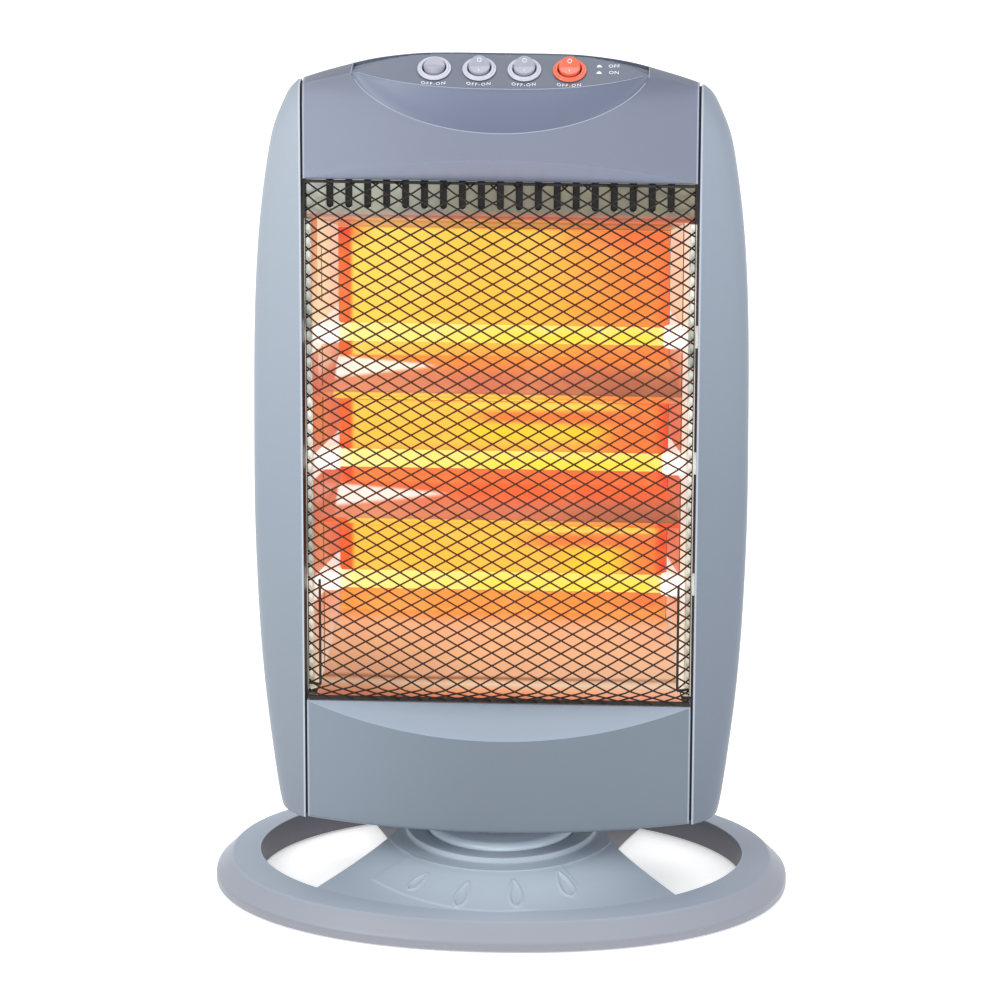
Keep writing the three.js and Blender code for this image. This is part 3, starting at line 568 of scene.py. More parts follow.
def painted_light_from_left(pale, amount, edge=True, top=None):
    """painted light, a little paler to the left; painted shade on the top when top is given; painted highlight on the
    seam edge and painted shade on the seam wall
    """
    def tone(g, col):
        co, x, y, z = g.xyz()
        # painted light: paler to the left
        col = g.mix(g.math("MULTIPLY", g.step(x, 0.0, -0.125), amount), col, lin(pale))
        if top:
            # painted shade: darker on the top
            col = g.mix(g.math("MULTIPLY", g.step(z, 0.499, 0.513), 0.75), col, lin(top))
        if edge:
            ax = g.math("ABSOLUTE", x)
            # painted highlight on the seam edge, then painted shade on the seam wall
            rim = g.math("MULTIPLY", g.step(ax, 0.1132, 0.1137), g.step(ax, 0.11438, 0.11434))
            col = g.mix(g.math("MULTIPLY", rim, 0.5), col, lin((178, 188, 204)))
            col = g.mix(g.step(ax, 0.11434, 0.11438), col, lin((26, 30, 38)))
        return col
    return tone


def base_painted_light_and_shade(g, col):
    """painted light round the hub, where the head shades it; painted shade to the right; warmer painted shade on the
    bevel, darker on the upright rim
    """
    co, x, y, z = g.xyz()
    r = g.math("SQRT", g.math("ADD", g.math("MULTIPLY", x, x), g.math("MULTIPLY", y, y)))
    # painted light round the hub
    col = g.mix(g.step(r, 0.118, 0.082), col, lin((174, 186, 199)))
    # painted shade to the right
    col = g.mix(g.math("MULTIPLY", g.step(x, 0.06, 0.15), 0.5), col, lin((128, 134, 148)))
    # painted shade, warmer, on the bevel and the upright rim
    col = g.mix(g.math("MULTIPLY", g.step(z, 0.0174, 0.0150), 0.62), col, lin((146, 147, 156)))
    return g.mix(g.math("MULTIPLY", g.step(z, 0.0076, 0.0060), 0.9), col, lin((132, 133, 142)))


M_top = plastic("casing_plastic_upper", (112, 118, 137), rough=0.38, wear_and_edge_sheen=0.4, tone=painted_light_from_left((128, 135, 152), 0.8, top=(92, 98, 115)))
# the crescent facets are lighter copies of the casing plastic: painted light
M_cres_up = plastic("casing_plastic_facet_upper_painted_light", (131, 139, 160), rough=0.38, wear_and_edge_sheen=0.4, tone=painted_light_from_left((146, 153, 172), 0.6))
M_low = plastic("casing_plastic_lower", (104, 115, 127), rough=0.38, wear_and_edge_sheen=0.4, tone=painted_light_from_left((120, 131, 144), 0.8))
M_cres_low = plastic("casing_plastic_facet_lower_painted_light", (155, 169, 186), rough=0.38, wear_and_edge_sheen=0.4, tone=painted_light_from_left((158, 172, 188), 0.5))
M_panel = plastic("control_panel_plastic", (91, 98, 115), rough=0.36, wear_and_edge_sheen=0.3, tone=painted_light_from_left((108, 116, 134), 0.7, False))
M_scoop = plastic("scoop_plastic", (103, 110, 132), rough=0.34, wear_and_edge_sheen=0.3, tone=painted_light_from_left((136, 144, 164), 0.9, False))
# one plastic for both side covers: a paler painted-light copy on the left, a darker painted-shade copy on the right
M_left = plastic("side_cover_plastic_left_painted_lit", (150, 162, 175), rough=0.38, wear_and_edge_sheen=0.5,
                 tone=painted_shade_by_height([(0.06, (115, 122, 134)), (0.26, (130, 141, 153)), (0.48, (156, 165, 176))]))
M_right = plastic("side_cover_plastic_right_painted_shade", (132, 144, 160), rough=0.38, wear_and_edge_sheen=0.5,
                  tone=painted_shade_by_height([(0.06, (95, 104, 119)), (0.26, (111, 121, 135)), (0.48, (137, 146, 160))]))
M_rear = plastic("rear_cover_plastic", (128, 138, 154), rough=0.46, grain=0.06)
M_base = plastic("base_plastic", (157, 167, 181), rough=0.38, wear_and_edge_sheen=0.5, tone=base_painted_light_and_shade)
# collar paler than the base plastic: painted light against the head's shade, and its rim highlight
M_collar = plastic("collar_plastic_painted_light", (214, 228, 242), rough=0.24, coat=0.4, wear_and_edge_sheen=0.3)
M_wall = plastic("base_plastic_shade", (92, 90, 99), rough=0.5, wear_and_edge_sheen=0.2)
M_line = plastic("casing_edge_highlight", (150, 158, 178), rough=0.35, wear_and_edge_sheen=0.3)
M_grey = plastic("switch_plastic_grey", (192, 193, 206), rough=0.28, coat=0.25, grain=0.01, wear_and_edge_sheen=0.2)
M_key = plastic("switch_key_plastic_grey", (158, 159, 173), rough=0.28, coat=0.25, grain=0.01, wear_and_edge_sheen=0.2)
M_orange = plastic("switch_plastic_orange", (232, 104, 76), rough=0.24, coat=0.3, grain=0.01, wear_and_edge_sheen=0.2)
M_mark = plastic("panel_print", (238, 241, 248), rough=0.5, grain=0.02, wear_and_edge_sheen=0.0)
M_dark = plastic("dark_plastic", (40, 41, 45), rough=0.5)
# black standing for shade: in the seams, on the slot walls and behind the slots
M_painted_shade = plastic("painted_shade_black", (10, 10, 11), rough=0.7)
M_rubber = plastic("black_rubber", (30, 30, 32), rough=0.75, grain=0.08, spec=0.3)
M_nylon = plastic("natural_nylon", (226, 221, 206), rough=0.45)
M_screw = metal("zinc_screw", (176, 178, 182), rough=0.3)
M_steel = metal("zinc_sheet", (178, 181, 186), rough=0.36, brush=(18.0, 1.0, 1.0))
M_can = metal("pressed_can", (170, 172, 175), rough=0.4)


def wire_material():
    mat = bpy.data.materials.new("guard_wire_coating")
    g = Graph(mat)
    co, x, y, z = g.xyz()
    n = g.noise(420.0, 3.0, 0.6)
    col = g.mix(n, lin((20, 16, 14)), lin((42, 28, 20)))
    # browner orange across the window's height
    window_band = g.math("MULTIPLY", g.step(z, 0.125, 0.20), g.step(z, 0.43, 0.40))
    col = g.mix(g.math("MULTIPLY", window_band, 0.6), col, lin((96, 40, 10)))
    g.shader(Base_Color=col, Roughness=remap(g, n, 0.36, 0.55), Metallic=0.35, Normal=g.bump(n, 0.2, 0.0001))
    return mat


M_wire = wire_material()
# black for the guard's edge: painted shade of the gap round it
M_guard_shade = plastic("guard_edge_painted_shade", (11, 9, 9), rough=0.62, wear_and_edge_sheen=0.15)


# colours of the painted glow on the lit sheet, from the hottest to the coolest
GLINT = (255, 252, 245)
YELLOW = (255, 214, 58)
STRAW = (255, 216, 98)
AMBER = (255, 193, 78)
ORANGE = (255, 152, 74)
EMBER = (250, 114, 68)
RED = (248, 70, 52)
PEACH = (244, 184, 146)
CREAM = (238, 218, 192)
ROSE = (214, 124, 100)
DULL = (154, 104, 80)
SHADE_BROWN = (118, 56, 42)
STEEL = (142, 138, 124)
PALE_STEEL = (198, 206, 198)


def painted_glow(name, z0, z1, stops, left=None, right=None, layers=None, strength=0.9, body=0.25, rough=0.3):
    """Polished sheet with the tubes' light painted on it as glow: a few colours along its height. left and right give
    the colour it shifts to towards that end, with the share of it at the lower and at the upper edge."""
    mat = bpy.data.materials.new(name)
    g = Graph(mat)
    co, x, y, z = g.xyz()
    wob = g.noise(14.0, 2.0, 0.5)
    zz = g.math("ADD", z, g.math("MULTIPLY", g.math("SUBTRACT", wob, 0.5), 0.002))
    t = g.math("DIVIDE", g.math("SUBTRACT", zz, z0 * MM), (z1 - z0) * MM, clamp=True)
    col = g.ramp(t, stops)
    for side, shift in ((-1, left), (1, right)):
        if shift:
            colour, low, high = shift
            share = g.math("MULTIPLY_ADD", t, high - low, low)
            col = g.mix(g.math("MULTIPLY", g.step(x, side * 0.003, side * 0.085), share), col, lin(colour))
    if layers:
        col = layers(g, col, x, z)
    # painted highlight: bright patches
    patch = g.noise(38.0, 3.0, 0.6, stretch=(1.0, 1.0, 1.4))
    col = g.mix(g.math("MULTIPLY", g.step(patch, 0.45, 0.75), 0.10), col, lin((255, 236, 150)))
    lines = g.noise(700.0, 2.0, 0.5, stretch=(0.03, 1.0, 1.0))
    tint = g.mix(body, (0, 0, 0, 1), col)
    # painted glow: the colour is also emitted
    b = g.shader(Base_Color=tint, Metallic=1.0, Roughness=remap(g, patch, rough - 0.06, rough + 0.1),
                 Emission_Color=col, Emission_Strength=strength, Normal=g.bump(lines, 0.05, 0.0001))
    return mat


def ends(g, col, x, lo=-0.0905, hi=0.0935, left=RED, right=EMBER):
    """painted glow: red strips at both ends of a trough"""
    y = g.xyz()[2]
    deep = g.step(y, 0.004, 0.012)
    a = g.math("MULTIPLY", g.math("MULTIPLY", g.step(x, lo + 0.0025, lo - 0.0015), 0.85), deep)
    col = g.mix(a, col, lin(left))
    b = g.math("MULTIPLY", g.math("MULTIPLY", g.step(x, hi - 0.006, hi + 0.003), 0.8), deep)
    col = g.mix(b, col, lin(right))
    out = g.step(g.math("ABSOLUTE", x), 0.0975, 0.0995)
    return g.mix(g.math("MULTIPLY", out, 0.9), col, lin(ROSE))


def spot(g, x, z, x0, x1, z0, z1, fx=0.012, fz=0.004):
    a = g.math("MULTIPLY", g.step(x, (x0 * MM) - fx / 2, (x0 * MM) + fx / 2), g.step(x, (x1 * MM) + fx / 2, (x1 * MM) - fx / 2))
    b = g.math("MULTIPLY", g.step(z, (z0 * MM) - fz / 2, (z0 * MM) + fz / 2), g.step(z, (z1 * MM) + fz / 2, (z1 * MM) - fz / 2))
    return g.math("MULTIPLY", a, b)


# painted glow: brighter and redder patches on the trough
def lay1(g, col, x, z):
    col = ends(g, col, x)
    col = g.mix(g.math("MULTIPLY", spot(g, x, z, 45, 120, 396, 420, 0.05, 0.012), 0.75), col, lin(EMBER))
    return g.mix(g.math("MULTIPLY", spot(g, x, z, -120, -84, 399, 420, 0.02, 0.01), 0.7), col, lin(RED))


def lay2(g, col, x, z):
    # painted reflection of the lit tube in the trough, with its dark gap above
    col = g.mix(g.math("MULTIPLY", spot(g, x, z, -28, 68, 296, 303, 0.03, 0.003), 0.8), col, lin(STRAW))
    col = g.mix(g.math("MULTIPLY", spot(g, x, z, -14, 96, 287.5, 294.5, 0.03, 0.004), 0.85), col, lin(EMBER))
    col = g.mix(g.math("MULTIPLY", spot(g, x, z, -24, 60, 277, 285, 0.03, 0.006), 0.85), col, lin(YELLOW))
    col = g.mix(g.math("MULTIPLY", spot(g, x, z, 62, 99, 267, 288, 0.02, 0.005), 0.7), col, lin(EMBER))
    return ends(g, col, x, hi=0.0945, right=RED)


# painted glow and painted reflection of the lit tube on the lowest trough
def lay3(g, col, x, z):
    col = g.mix(g.math("MULTIPLY", spot(g, x, z, 16, 96, 219, 223, 0.03, 0.002), 0.8), col, lin(STRAW))
    col = g.mix(g.math("MULTIPLY", spot(g, x, z, 14, 99, 209.5, 217.5, 0.03, 0.004), 0.85), col, lin(EMBER))
    col = g.mix(g.math("MULTIPLY", spot(g, x, z, 38, 74, 192, 209, 0.03, 0.008), 0.85), col, lin(YELLOW))
    col = g.mix(g.math("MULTIPLY", spot(g, x, z, 74, 99, 172, 210, 0.02, 0.008), 0.65), col, lin(EMBER))
    a = g.math("MULTIPLY", g.step(x, -0.088, -0.092), g.step(z, 0.178, 0.188))
    col = g.mix(g.math("MULTIPLY", a, 0.85), col, lin(RED))
    b = g.math("MULTIPLY", g.step(x, 0.0885, 0.0955), g.step(z, 0.178, 0.188))
    return g.mix(g.math("MULTIPLY", b, 0.8), col, lin(RED))


def wedge(zl, zh, x_end):
    """painted white glint on a ledge that thins out to the right; zl and zh are its lower and upper edge at the left
    end
    """
    def layer(g, col, x, z):
        along = g.math("DIVIDE", g.math("SUBTRACT", x, -0.098), (x_end + 98) * MM, clamp=True)
        mid = (zl * 0.38 + zh * 0.62)
        top = g.math("MULTIPLY_ADD", along, (mid - zh) * MM, zh * MM)
        low = g.math("MULTIPLY_ADD", along, (mid - zl) * MM, zl * MM)
        a = g.step(g.math("SUBTRACT", z, low), -0.0006, 0.0010)
        b = g.step(g.math("SUBTRACT", z, top), 0.0006, -0.0006)
        c = g.step(along, 1.0, 0.8)
        d = g.step(x, -0.0995, -0.0975)
        col = g.mix(g.math("MULTIPLY", g.math("SUBTRACT", 1.0, d), 0.85), col, lin(ROSE))
        return g.mix(g.math("MULTIPLY", g.math("MULTIPLY", g.math("MULTIPLY", a, b), c), d), col, lin(GLINT))
    return layer


M_panel1 = painted_glow("reflector_glow_1", 327, 408, [(0, ORANGE), (0.14, AMBER), (1, AMBER)], (STRAW, 0.6, 0.8), (EMBER, 0.7, 0.85), lay1)
M_floor1 = painted_glow("reflector_ledge_1_painted_glow", 317, 327.3, [(0, ROSE), (0.5, ROSE), (1, ORANGE)], (PEACH, 0.35, 0.1), (DULL, 0.9, 0.1), wedge(321.2, 327.6, -36))
M_panel2 = painted_glow("reflector_glow_2", 247.8, 301.5, [(0, EMBER), (0.18, EMBER), (0.34, ORANGE), (0.5, AMBER), (1, AMBER)], (STRAW, 0.1, 0.2), (EMBER, 0.4, 0.85), lay2)
M_floor2 = painted_glow("reflector_ledge_2_painted_glow", 238.8, 247.8, [(0, ROSE), (0.4, ROSE), (0.8, EMBER), (1, EMBER)], (PEACH, 0.35, 0.1), (DULL, 0.9, 0.0), wedge(242.2, 247.9, -28))
M_panel3 = painted_glow("reflector_glow_3", 167.2, 223, [(0, ORANGE), (0.27, ORANGE), (0.5, AMBER), (1, AMBER)], None, (EMBER, 0.3, 0.8), lay3)
M_floor3 = painted_glow("reflector_ledge_3_painted_glow", 131, 167.2, [(0, ROSE), (0.1, PEACH), (0.14, CREAM), (0.18, PEACH), (0.21, DULL), (0.25, PEACH), (0.4, PEACH), (0.85, PEACH), (1, ORANGE)],
                (DULL, 0.55, 0.0), (CREAM, 0.3, 0.0), strength=0.85)
M_ceil1 = painted_glow("reflector_ceiling_1_painted_glow", 408, 427.6, [(0, SHADE_BROWN), (0.1, DULL), (0.4, DULL), (0.56, SHADE_BROWN), (0.86, ROSE), (1, SHADE_BROWN)], (PEACH, 0.35, 0.1), strength=0.8)
M_flange = painted_glow("reflector_flange", 428.3, 449, [(0, ROSE), (0.14, STEEL), (1, STEEL)], (PALE_STEEL, 0.4, 0.8), strength=0.5, body=0.35)


def side_strip_material(left):
    # the strips' colours are painted glow and reflection of the tubes, emitted
    mat = bpy.data.materials.new("side_strip_left_painted_glow" if left else "side_strip_right_painted_glow")
    g = Graph(mat)
    co, x, y, z = g.xyz()
    n = g.noise(30.0, 3.0, 0.6)
    t = g.math("DIVIDE", g.math("SUBTRACT", z, 0.1345), 0.2895, clamp=True)
    if left:
        inner = g.ramp(t, [(0, CREAM), (0.24, ROSE), (0.64, ROSE), (0.76, CREAM), (1, CREAM)])
        outer = g.ramp(t, [(0, CREAM), (0.25, ROSE), (0.7, ROSE), (0.8, CREAM), (1, ROSE)])
        col = g.mix(g.step(y, -0.0245, -0.0265), inner, outer)
        line = g.math("MULTIPLY", g.step(g.math("ABSOLUTE", g.math("ADD", y, g.math("MULTIPLY_ADD", n, 0.002, 0.0165))), 0.0012, 0.0007),
                      g.math("MAXIMUM", g.math("MULTIPLY", g.step(z, 0.369, 0.372), g.step(z, 0.405, 0.402)), g.math("MULTIPLY", g.step(z, 0.140, 0.143), g.step(z, 0.344, 0.341))))
        col = g.mix(g.math("MULTIPLY", line, 0.85), col, lin((46, 20, 14)))
        near = g.step(y, 0.02, -0.03)
    else:
        inner = g.ramp(t, [(0, CREAM), (0.3, ROSE), (0.66, ROSE), (0.8, CREAM), (1, CREAM)])
        outer = lin((250, 240, 225))
        col = g.mix(g.step(y, -0.0195, -0.0203), inner, lin((48, 20, 14)))
        col = g.mix(g.step(y, -0.0222, -0.0230), col, outer)
    # glare round the lit tube ends
    d = None
    for tz in TUBE_Z:
        a = g.math("ABSOLUTE", g.math("SUBTRACT", z, tz * MM))
        d = a if d is None else g.math("MINIMUM", d, a)
    col = g.mix(g.math("MULTIPLY", g.step(d, 0.0085, 0.0070), 0.9), col, lin((255, 253, 248)))
    # painted sheen: paler patches
    col = g.mix(g.math("MULTIPLY", g.step(n, 0.5, 0.8), 0.15), col, lin((255, 236, 214)))
    g.shader(Base_Color=g.mix(0.3, (0, 0, 0, 1), col), Metallic=1.0, Roughness=remap(g, n, 0.25, 0.4), Emission_Color=col, Emission_Strength=0.75)
    return mat


M_strip = {-1: side_strip_material(True), 1: side_strip_material(False)}


def edge_sheet_material():
    mat = bpy.data.materials.new("window_edge_sheet_painted_reflection")
    # the sheet's mottled grey and cream are painted reflection, emitted as glow
    g = Graph(mat)
    co, x, y, z = g.xyz()
    n = g.noise(46.0, 4.0, 0.65, stretch=(1.0, 1.0, 0.5))
    col = g.mix(g.step(n, 0.35, 0.65), lin((150, 158, 150)), lin((236, 232, 220)))
    col = g.mix(g.math("MULTIPLY", g.step(z, 0.30, 0.12), 0.5), col, lin((222, 206, 176)))
    g.shader(Base_Color=g.mix(0.6, (0, 0, 0, 1), col), Metallic=0.9, Roughness=remap(g, n, 0.25, 0.45), Emission_Color=col, Emission_Strength=0.45)
    return mat


M_edge = edge_sheet_material()


def tube_material():
    mat = bpy.data.materials.new("lit_quartz")
    g = Graph(mat)
    co, x, y, z = g.xyz()
    n = g.noise(60.0, 3.0, 0.6, stretch=(1.0, 1.0, 1.0))
    # above and below the tube's own axis, for any of the three tubes
    d = None
    for tz in TUBE_Z:
        a = g.math("ABSOLUTE", g.math("SUBTRACT", z, tz * MM))
        d = a if d is None else g.math("MINIMUM", d, a)
    s = None
    for tz in TUBE_Z:
        q = g.math("SUBTRACT", z, tz * MM)
        near = g.math("LESS_THAN", g.math("ABSOLUTE", q), 0.01)
        v = g.math("MULTIPLY", q, near)
        s = v if s is None else g.math("ADD", s, v)
    col = g.mix(g.step(x, -0.11, 0.03), lin((255, 243, 150)), lin((255, 226, 62)))
    col = g.mix(g.math("MULTIPLY", g.step(s, 0.0005, 0.005), 0.5), col, lin((255, 242, 150)))
    col = g.mix(g.math("MULTIPLY", g.step(s, -0.001, -0.0052), 0.4), col, lin((255, 238, 130)))
    col = g.mix(g.math("MULTIPLY", g.step(x, -0.086, -0.1), 0.9), col, lin((255, 250, 226)))
    col = g.mix(g.math("MULTIPLY", g.step(x, 0.084, 0.1), 0.5), col, lin((255, 240, 170)))
    col = g.mix(g.math("MULTIPLY", g.step(n, 0.5, 0.8), 0.25), col, lin((255, 252, 214)))
    g.shader(Base_Color=(0.12, 0.10, 0.02, 1), Roughness=remap(g, n, 0.12, 0.2), Specular_IOR_Level=0.2,
             Emission_Color=col, Emission_Strength=0.98, Normal=g.bump(n, 0.02, 0.0004))
    return mat


M_tube = tube_material()


def coil_material():
    mat = bpy.data.materials.new("lit_coil")
    g = Graph(mat)
    n = g.noise(200.0, 2.0, 0.5)
    col = g.mix(n, lin((255, 220, 120)), lin((255, 246, 190)))
    g.shader(Base_Color=(0.5, 0.4, 0.2, 1), Metallic=1.0, Roughness=remap(g, n, 0.3, 0.5), Emission_Color=col, Emission_Strength=2.0)
    return mat


M_coil = coil_material()


def ceramic_material():
    mat = bpy.data.materials.new("white_ceramic_painted_light")
    g = Graph(mat)
    n = g.noise(180.0, 3.0, 0.6)
    col = g.mix(n, lin((250, 246, 236)), lin((255, 253, 248)))
    # painted light: the caps glow a little
    g.shader(Base_Color=col, Roughness=remap(g, n, 0.5, 0.7), Emission_Color=lin((255, 250, 240)), Emission_Strength=0.45, Normal=g.bump(n, 0.2, 0.0002))
    return mat


M_ceramic = ceramic_material()

# ------------------------------------------------------------------ side covers
SEAM = 115.75
REAR = 26.45
NS = 54


def side_rows():
    rows = []
    prof = [p for p in PROFILE if p[0] > SEAM + 0.12]
    for w, l in prof:
        P = ring_half(w, l, n=(20, 30, 44, 10))
        im = int(np.argmax(P[:, 0]))
        f0 = crossing(P[:, 0], SEAM, 0, im)
        f1 = crossing(P[:, 0], SEAM, im)
        fy = crossing(P[:, 1], REAR - 0.9, im)
        ends_ = [f for f in (f1, fy) if f is not None]
        if f0 is None or not ends_:
            continue
        q = sub_curve(P, f0, min(ends_), NS)
        y0 = q[0][1]
        fl = [(SEAM, y0 + (max(-22.0, y0) - y0) * t) for t in (1.0, 0.66, 0.33)]
        rows.append((np.array(fl + [tuple(p) for p in q]), l))
    return rows


for sx, nm, mat in ((1, "right", M_right), (-1, "left", M_left)):
    rows = side_rows()
    V = []
    first = rows[0][0]
    for k in (0.0, 0.5):
        for p in first:
            V.append((sx * (SEAM + (p[0] - SEAM) * k), p[1], rows[0][1]))
    for q, l in rows:
        V.extend((sx * a, b, c) for a, b, c in lifted(q, l))
    cols = NS + 3
    F = grid_faces(len(rows) + 2, cols)
    ob = build("side_cover_" + nm + "_shell", V, F, mat, "head", ["side_cover_" + nm], centre=(0, -10, 280))
    thicken(ob, 2.0, 0.55, 3)

# ------------------------------------------------------------------ rear cover
NR = 60
V = []
rows = [(w, l) for w, l in PROFILE]
first = None
count = 0
for w, l in rows:
    P = ring_half(w, l, n=(10, 20, 44, 30))
    im = int(np.argmax(P[:, 0]))
    fy = crossing(P[:, 1], REAR, im)
    if fy is None:
        fy = float(len(P) - 2)
    q = sub_curve(P, fy, float(len(P) - 1), NR)
    line = [(a, b, c) for a, b, c in lifted(q, l)]
    line = line + [(-a, b, c) for a, b, c in line[-2::-1]]
    if first is None:
        first = line
        for k in (0.0, 0.5):
            V.extend((a, REAR + (b - REAR) * k, c) for a, b, c in first)
            count += 1
    V.extend(line)
    count += 1
F = grid_faces(count, 2 * NR - 1)
ob = build("rear_cover_shell", V, F, M_rear, "head", ["rear_cover"], centre=(0, 0, 290))
slots = []
for z0 in [352 + 10.5 * i for i in range(9)] + [112 + 10.5 * i for i in range(5)]:
    for s in (-1, 1):
        o = []
        a, b, r = 5.0, 82.0, 2.1
        for k in range(9):
            t = -math.pi / 2 + math.pi * k / 8
            o.append((b - r + r * math.cos(t), z0 + r * math.sin(t)))
        for k in range(9):
            t = math.pi / 2 + math.pi * k / 8
            o.append((a + r + r * math.cos(t), z0 + r * math.sin(t)))
        slots.append(prism([(s * u, v) for u, v in o], 30, 60, "y"))
slots.append(prism([(58 + 7.3 * math.cos(2 * math.pi * k / 32), 70 + 7.3 * math.sin(2 * math.pi * k / 32)) for k in range(32)], 30, 60, "y"))
cut = loose("rear_slots", *join(slots))
thicken(ob, 2.2, 0.3, 2, cutters=[cut])

# ------------------------------------------------------------------ profiles of the middle covers
XM = 114.4
XE = 85.5
YB = 25.6


def ell_at(w):
    """height at which the half width is w, above the widest point"""
    i0 = int(np.argmax(PROFILE[:, 0]))
    return float(np.interp(-w, -PROFILE[i0:, 0], PROFILE[i0:, 1]))


def over_profile(x):
    """(y, z) of the outer surface at this x, from the window up and over the top to the rear seam."""
    x = abs(x)
    lm = ell_at(max(x, 0.3)) if x < 146 else 300
    ls = np.concatenate([np.linspace(440, min(489, lm), 8), np.linspace(490, lm, 70)[:-1]]) if lm > 491 else np.linspace(440, lm, 60)[:-1]
    # denser close to the crest
    ls = np.unique(np.concatenate([ls, lm - (lm - 440) * np.linspace(0.0, 0.25, 60)[1:] ** 2]))
    F, B = [], []
    for l in ls:
        w = float(np.interp(l, PROFILE[:, 1], PROFILE[:, 0]))
        if w <= x:
            continue
        P = ring_half(w, l, n=(40, 24, 30, 16))
        im = int(np.argmax(P[:, 0]))
        f = crossing(P[:, 0], x, 0, im) if x > 0 else 0.0
        r = crossing(P[:, 0], x, im)
        if x == 0:
            r = float(len(P) - 1)
        if f is None or r is None:
            continue

        def at(k):
            i = min(int(k), len(P) - 2)
            return float(P[i, 1] + (k - i) * (P[i + 1, 1] - P[i, 1]))
        yf, yr = at(f), at(r)
        F.append((yf, float(l - fall(yf, l))))
        B.append((yr, float(l - fall(yr, l))))
    top = (-20.0, float(lm - fall(-20.0, lm)))
    return np.array(F + [top] + B[::-1])


def arc_z(x):
    t = min(1.0, abs(x) / 86.5)
    return 518 - 33.2 * (1 - t * t) ** 0.62


NP1, NSC, NPA, NST, NT = 12, 9, 16, 2, 16


def resample(P, n):
    return sub_curve(np.asarray(P, float), 0.0, float(len(P) - 1), n)


def top_columns():
    xs = [-XM] + [-XM + (XM - XE) * k / 12 for k in range(1, 12)] + [-XE, -XE] + [-XE + 2 * XE * k / 96 for k in range(1, 96)] + [XE, XE] + \
         [XE + (XM - XE) * k / 12 for k in range(1, 12)] + [XM]
    kinds = ["o"] * 13 + ["i"] * 97 + ["o"] * 13
    cols = []
    for x, kind in zip(xs, kinds):
        P = over_profile(x)
        ic = int(np.argmax(P[:, 1]))
        iy = [i for i in range(len(P)) if P[i, 1] > 491]
        S = P[iy[0]:] if iy else P
        S = S[np.concatenate([[True], np.diff(S[:, 0]) > 1e-6])]
        ztop = lambda y: float(np.interp(y, S[:, 0], S[:, 1]))
        s = (469 - 450.7) / (-62 + 40.7)
        yf0 = float(front_y(x))
        zc = 450.7 + s * (yf0 + 40.7)
        # flange behind the window edge, then the crescent facet
        a = [(-27.0, 450.7), (-34.0, 450.7), (-40.7 + 0.0, 450.7)]
        b = [(-40.7 + (yf0 + 40.7) * t, 450.7 + (zc - 450.7) * t) for t in (0.25, 0.5, 0.75)]
        f22 = crossing(P[:, 0], -22.0, 0)
        if f22 is None:
            f22 = float(len(P) - 2)
        fb = crossing(P[:, 0], YB, int(f22))
        if fb is None:
            fb = float(len(P) - 1)
        z22 = ztop(-22.0)
        za = min(arc_z(min(abs(x), XE)), z22 - 1.7)
        if abs(x) > XE:
            za = min(arc_z(XE), z22 - 1.7)
        front = P[:ic + 1]
        fs = crossing(front[:, 1], zc)
        fa = crossing(front[:, 1], za)
        if fs is None:
            fs = 0.0
        if fa is None or fa <= fs:
            fa = fs + 0.5
        p1 = sub_curve(P, fs, fa, NP1)
        nn = NSC + NPA + NST
        if kind == "i":
            ya, yza = p1[-1]
            t = abs(x) / XE
            yp = -50 + 12.0 * t ** 2.6
            step = 0.4 + 1.0 * t ** 2

            def pan(y):
                plane = 508 + (y + 50) * TAN
                lim = ztop(y) - step
                d = plane - lim
                return plane - max(0.0, (d + 0.8) if d > 0.8 else ((d + 0.8) ** 2 / 3.2 if d > -0.8 else 0.0)) if d > -0.8 else plane
            yp = max(yp, ya + 1.2)
            zp = pan(yp)
            A, B = np.array((ya, yza)), np.array((yp, zp))
            d = B - A
            L = np.linalg.norm(d)
            nrm = np.array((d[1], -d[0])) / max(L, 1e-6)
            sag = min(1.9, 0.085 * L)
            sc = [A + d * t_ + nrm * sag * 4 * t_ * (1 - t_) * (1.25 - 0.5 * t_) for t_ in np.linspace(0, 1, NSC + 1)[1:]]
            pa = [(y, pan(y)) for y in np.linspace(yp, -22.0, NPA + 1)[1:]]
            st = [(-22.0, pa[-1][1] + (z22 - pa[-1][1]) * k / NST) for k in range(1, NST + 1)]
            mid = [tuple(p) for p in sc] + pa + st
        else:
            q = sub_curve(P, fa, f22, nn + 1)[1:]
            mid = [tuple(p) for p in q]
        back = [tuple(p) for p in sub_curve(P, f22, fb, NT + 1)[1:]]
        cols.append((x, a + b + [tuple(p) for p in p1] + mid + back))
    return cols


cols = top_columns()
n = len(cols[0][1])
V = [(x, y, z) for x, c in cols for y, z in c]
F, idx = [], []
base_i = 6 + NP1
for k in range(len(cols) - 1):
    x0, x1 = cols[k][0], cols[k + 1][0]
    wall = abs(x0 - x1) < 1e-9
    for j in range(n - 1):
        if wall and not (base_i - 1 <= j < base_i + NSC + NPA + NST - 1):
            continue
        a = k * n + j
        F.append((a, a + 1, a + n + 1, a + n))
        inner = abs((x0 + x1) / 2) < XE
        if inner and base_i - 1 <= j < base_i - 1 + NSC:
            idx.append(2)
        elif (inner or wall) and base_i - 1 + NSC <= j < base_i - 1 + NSC + NPA + NST:
            idx.append(1)
        elif j <= 5:
            idx.append(3)
        else:
            idx.append(0)
ob = build("front_top_cover_shell", V, F, [M_top, M_panel, M_scoop, M_cres_up], "head", ["front_top_cover"], centre=(0, 10, 440), index=idx)


def on_panel(x, pts):
    """points in the switch frame (X, Y on the panel, Z out of it) to the row frame"""
    c, s = math.cos(math.radians(29)), math.sin(math.radians(29))
    return [(x + p[0], SW_Y + p[1] * c - p[2] * s, SW_Z + p[1] * s + p[2] * c) for p in pts]


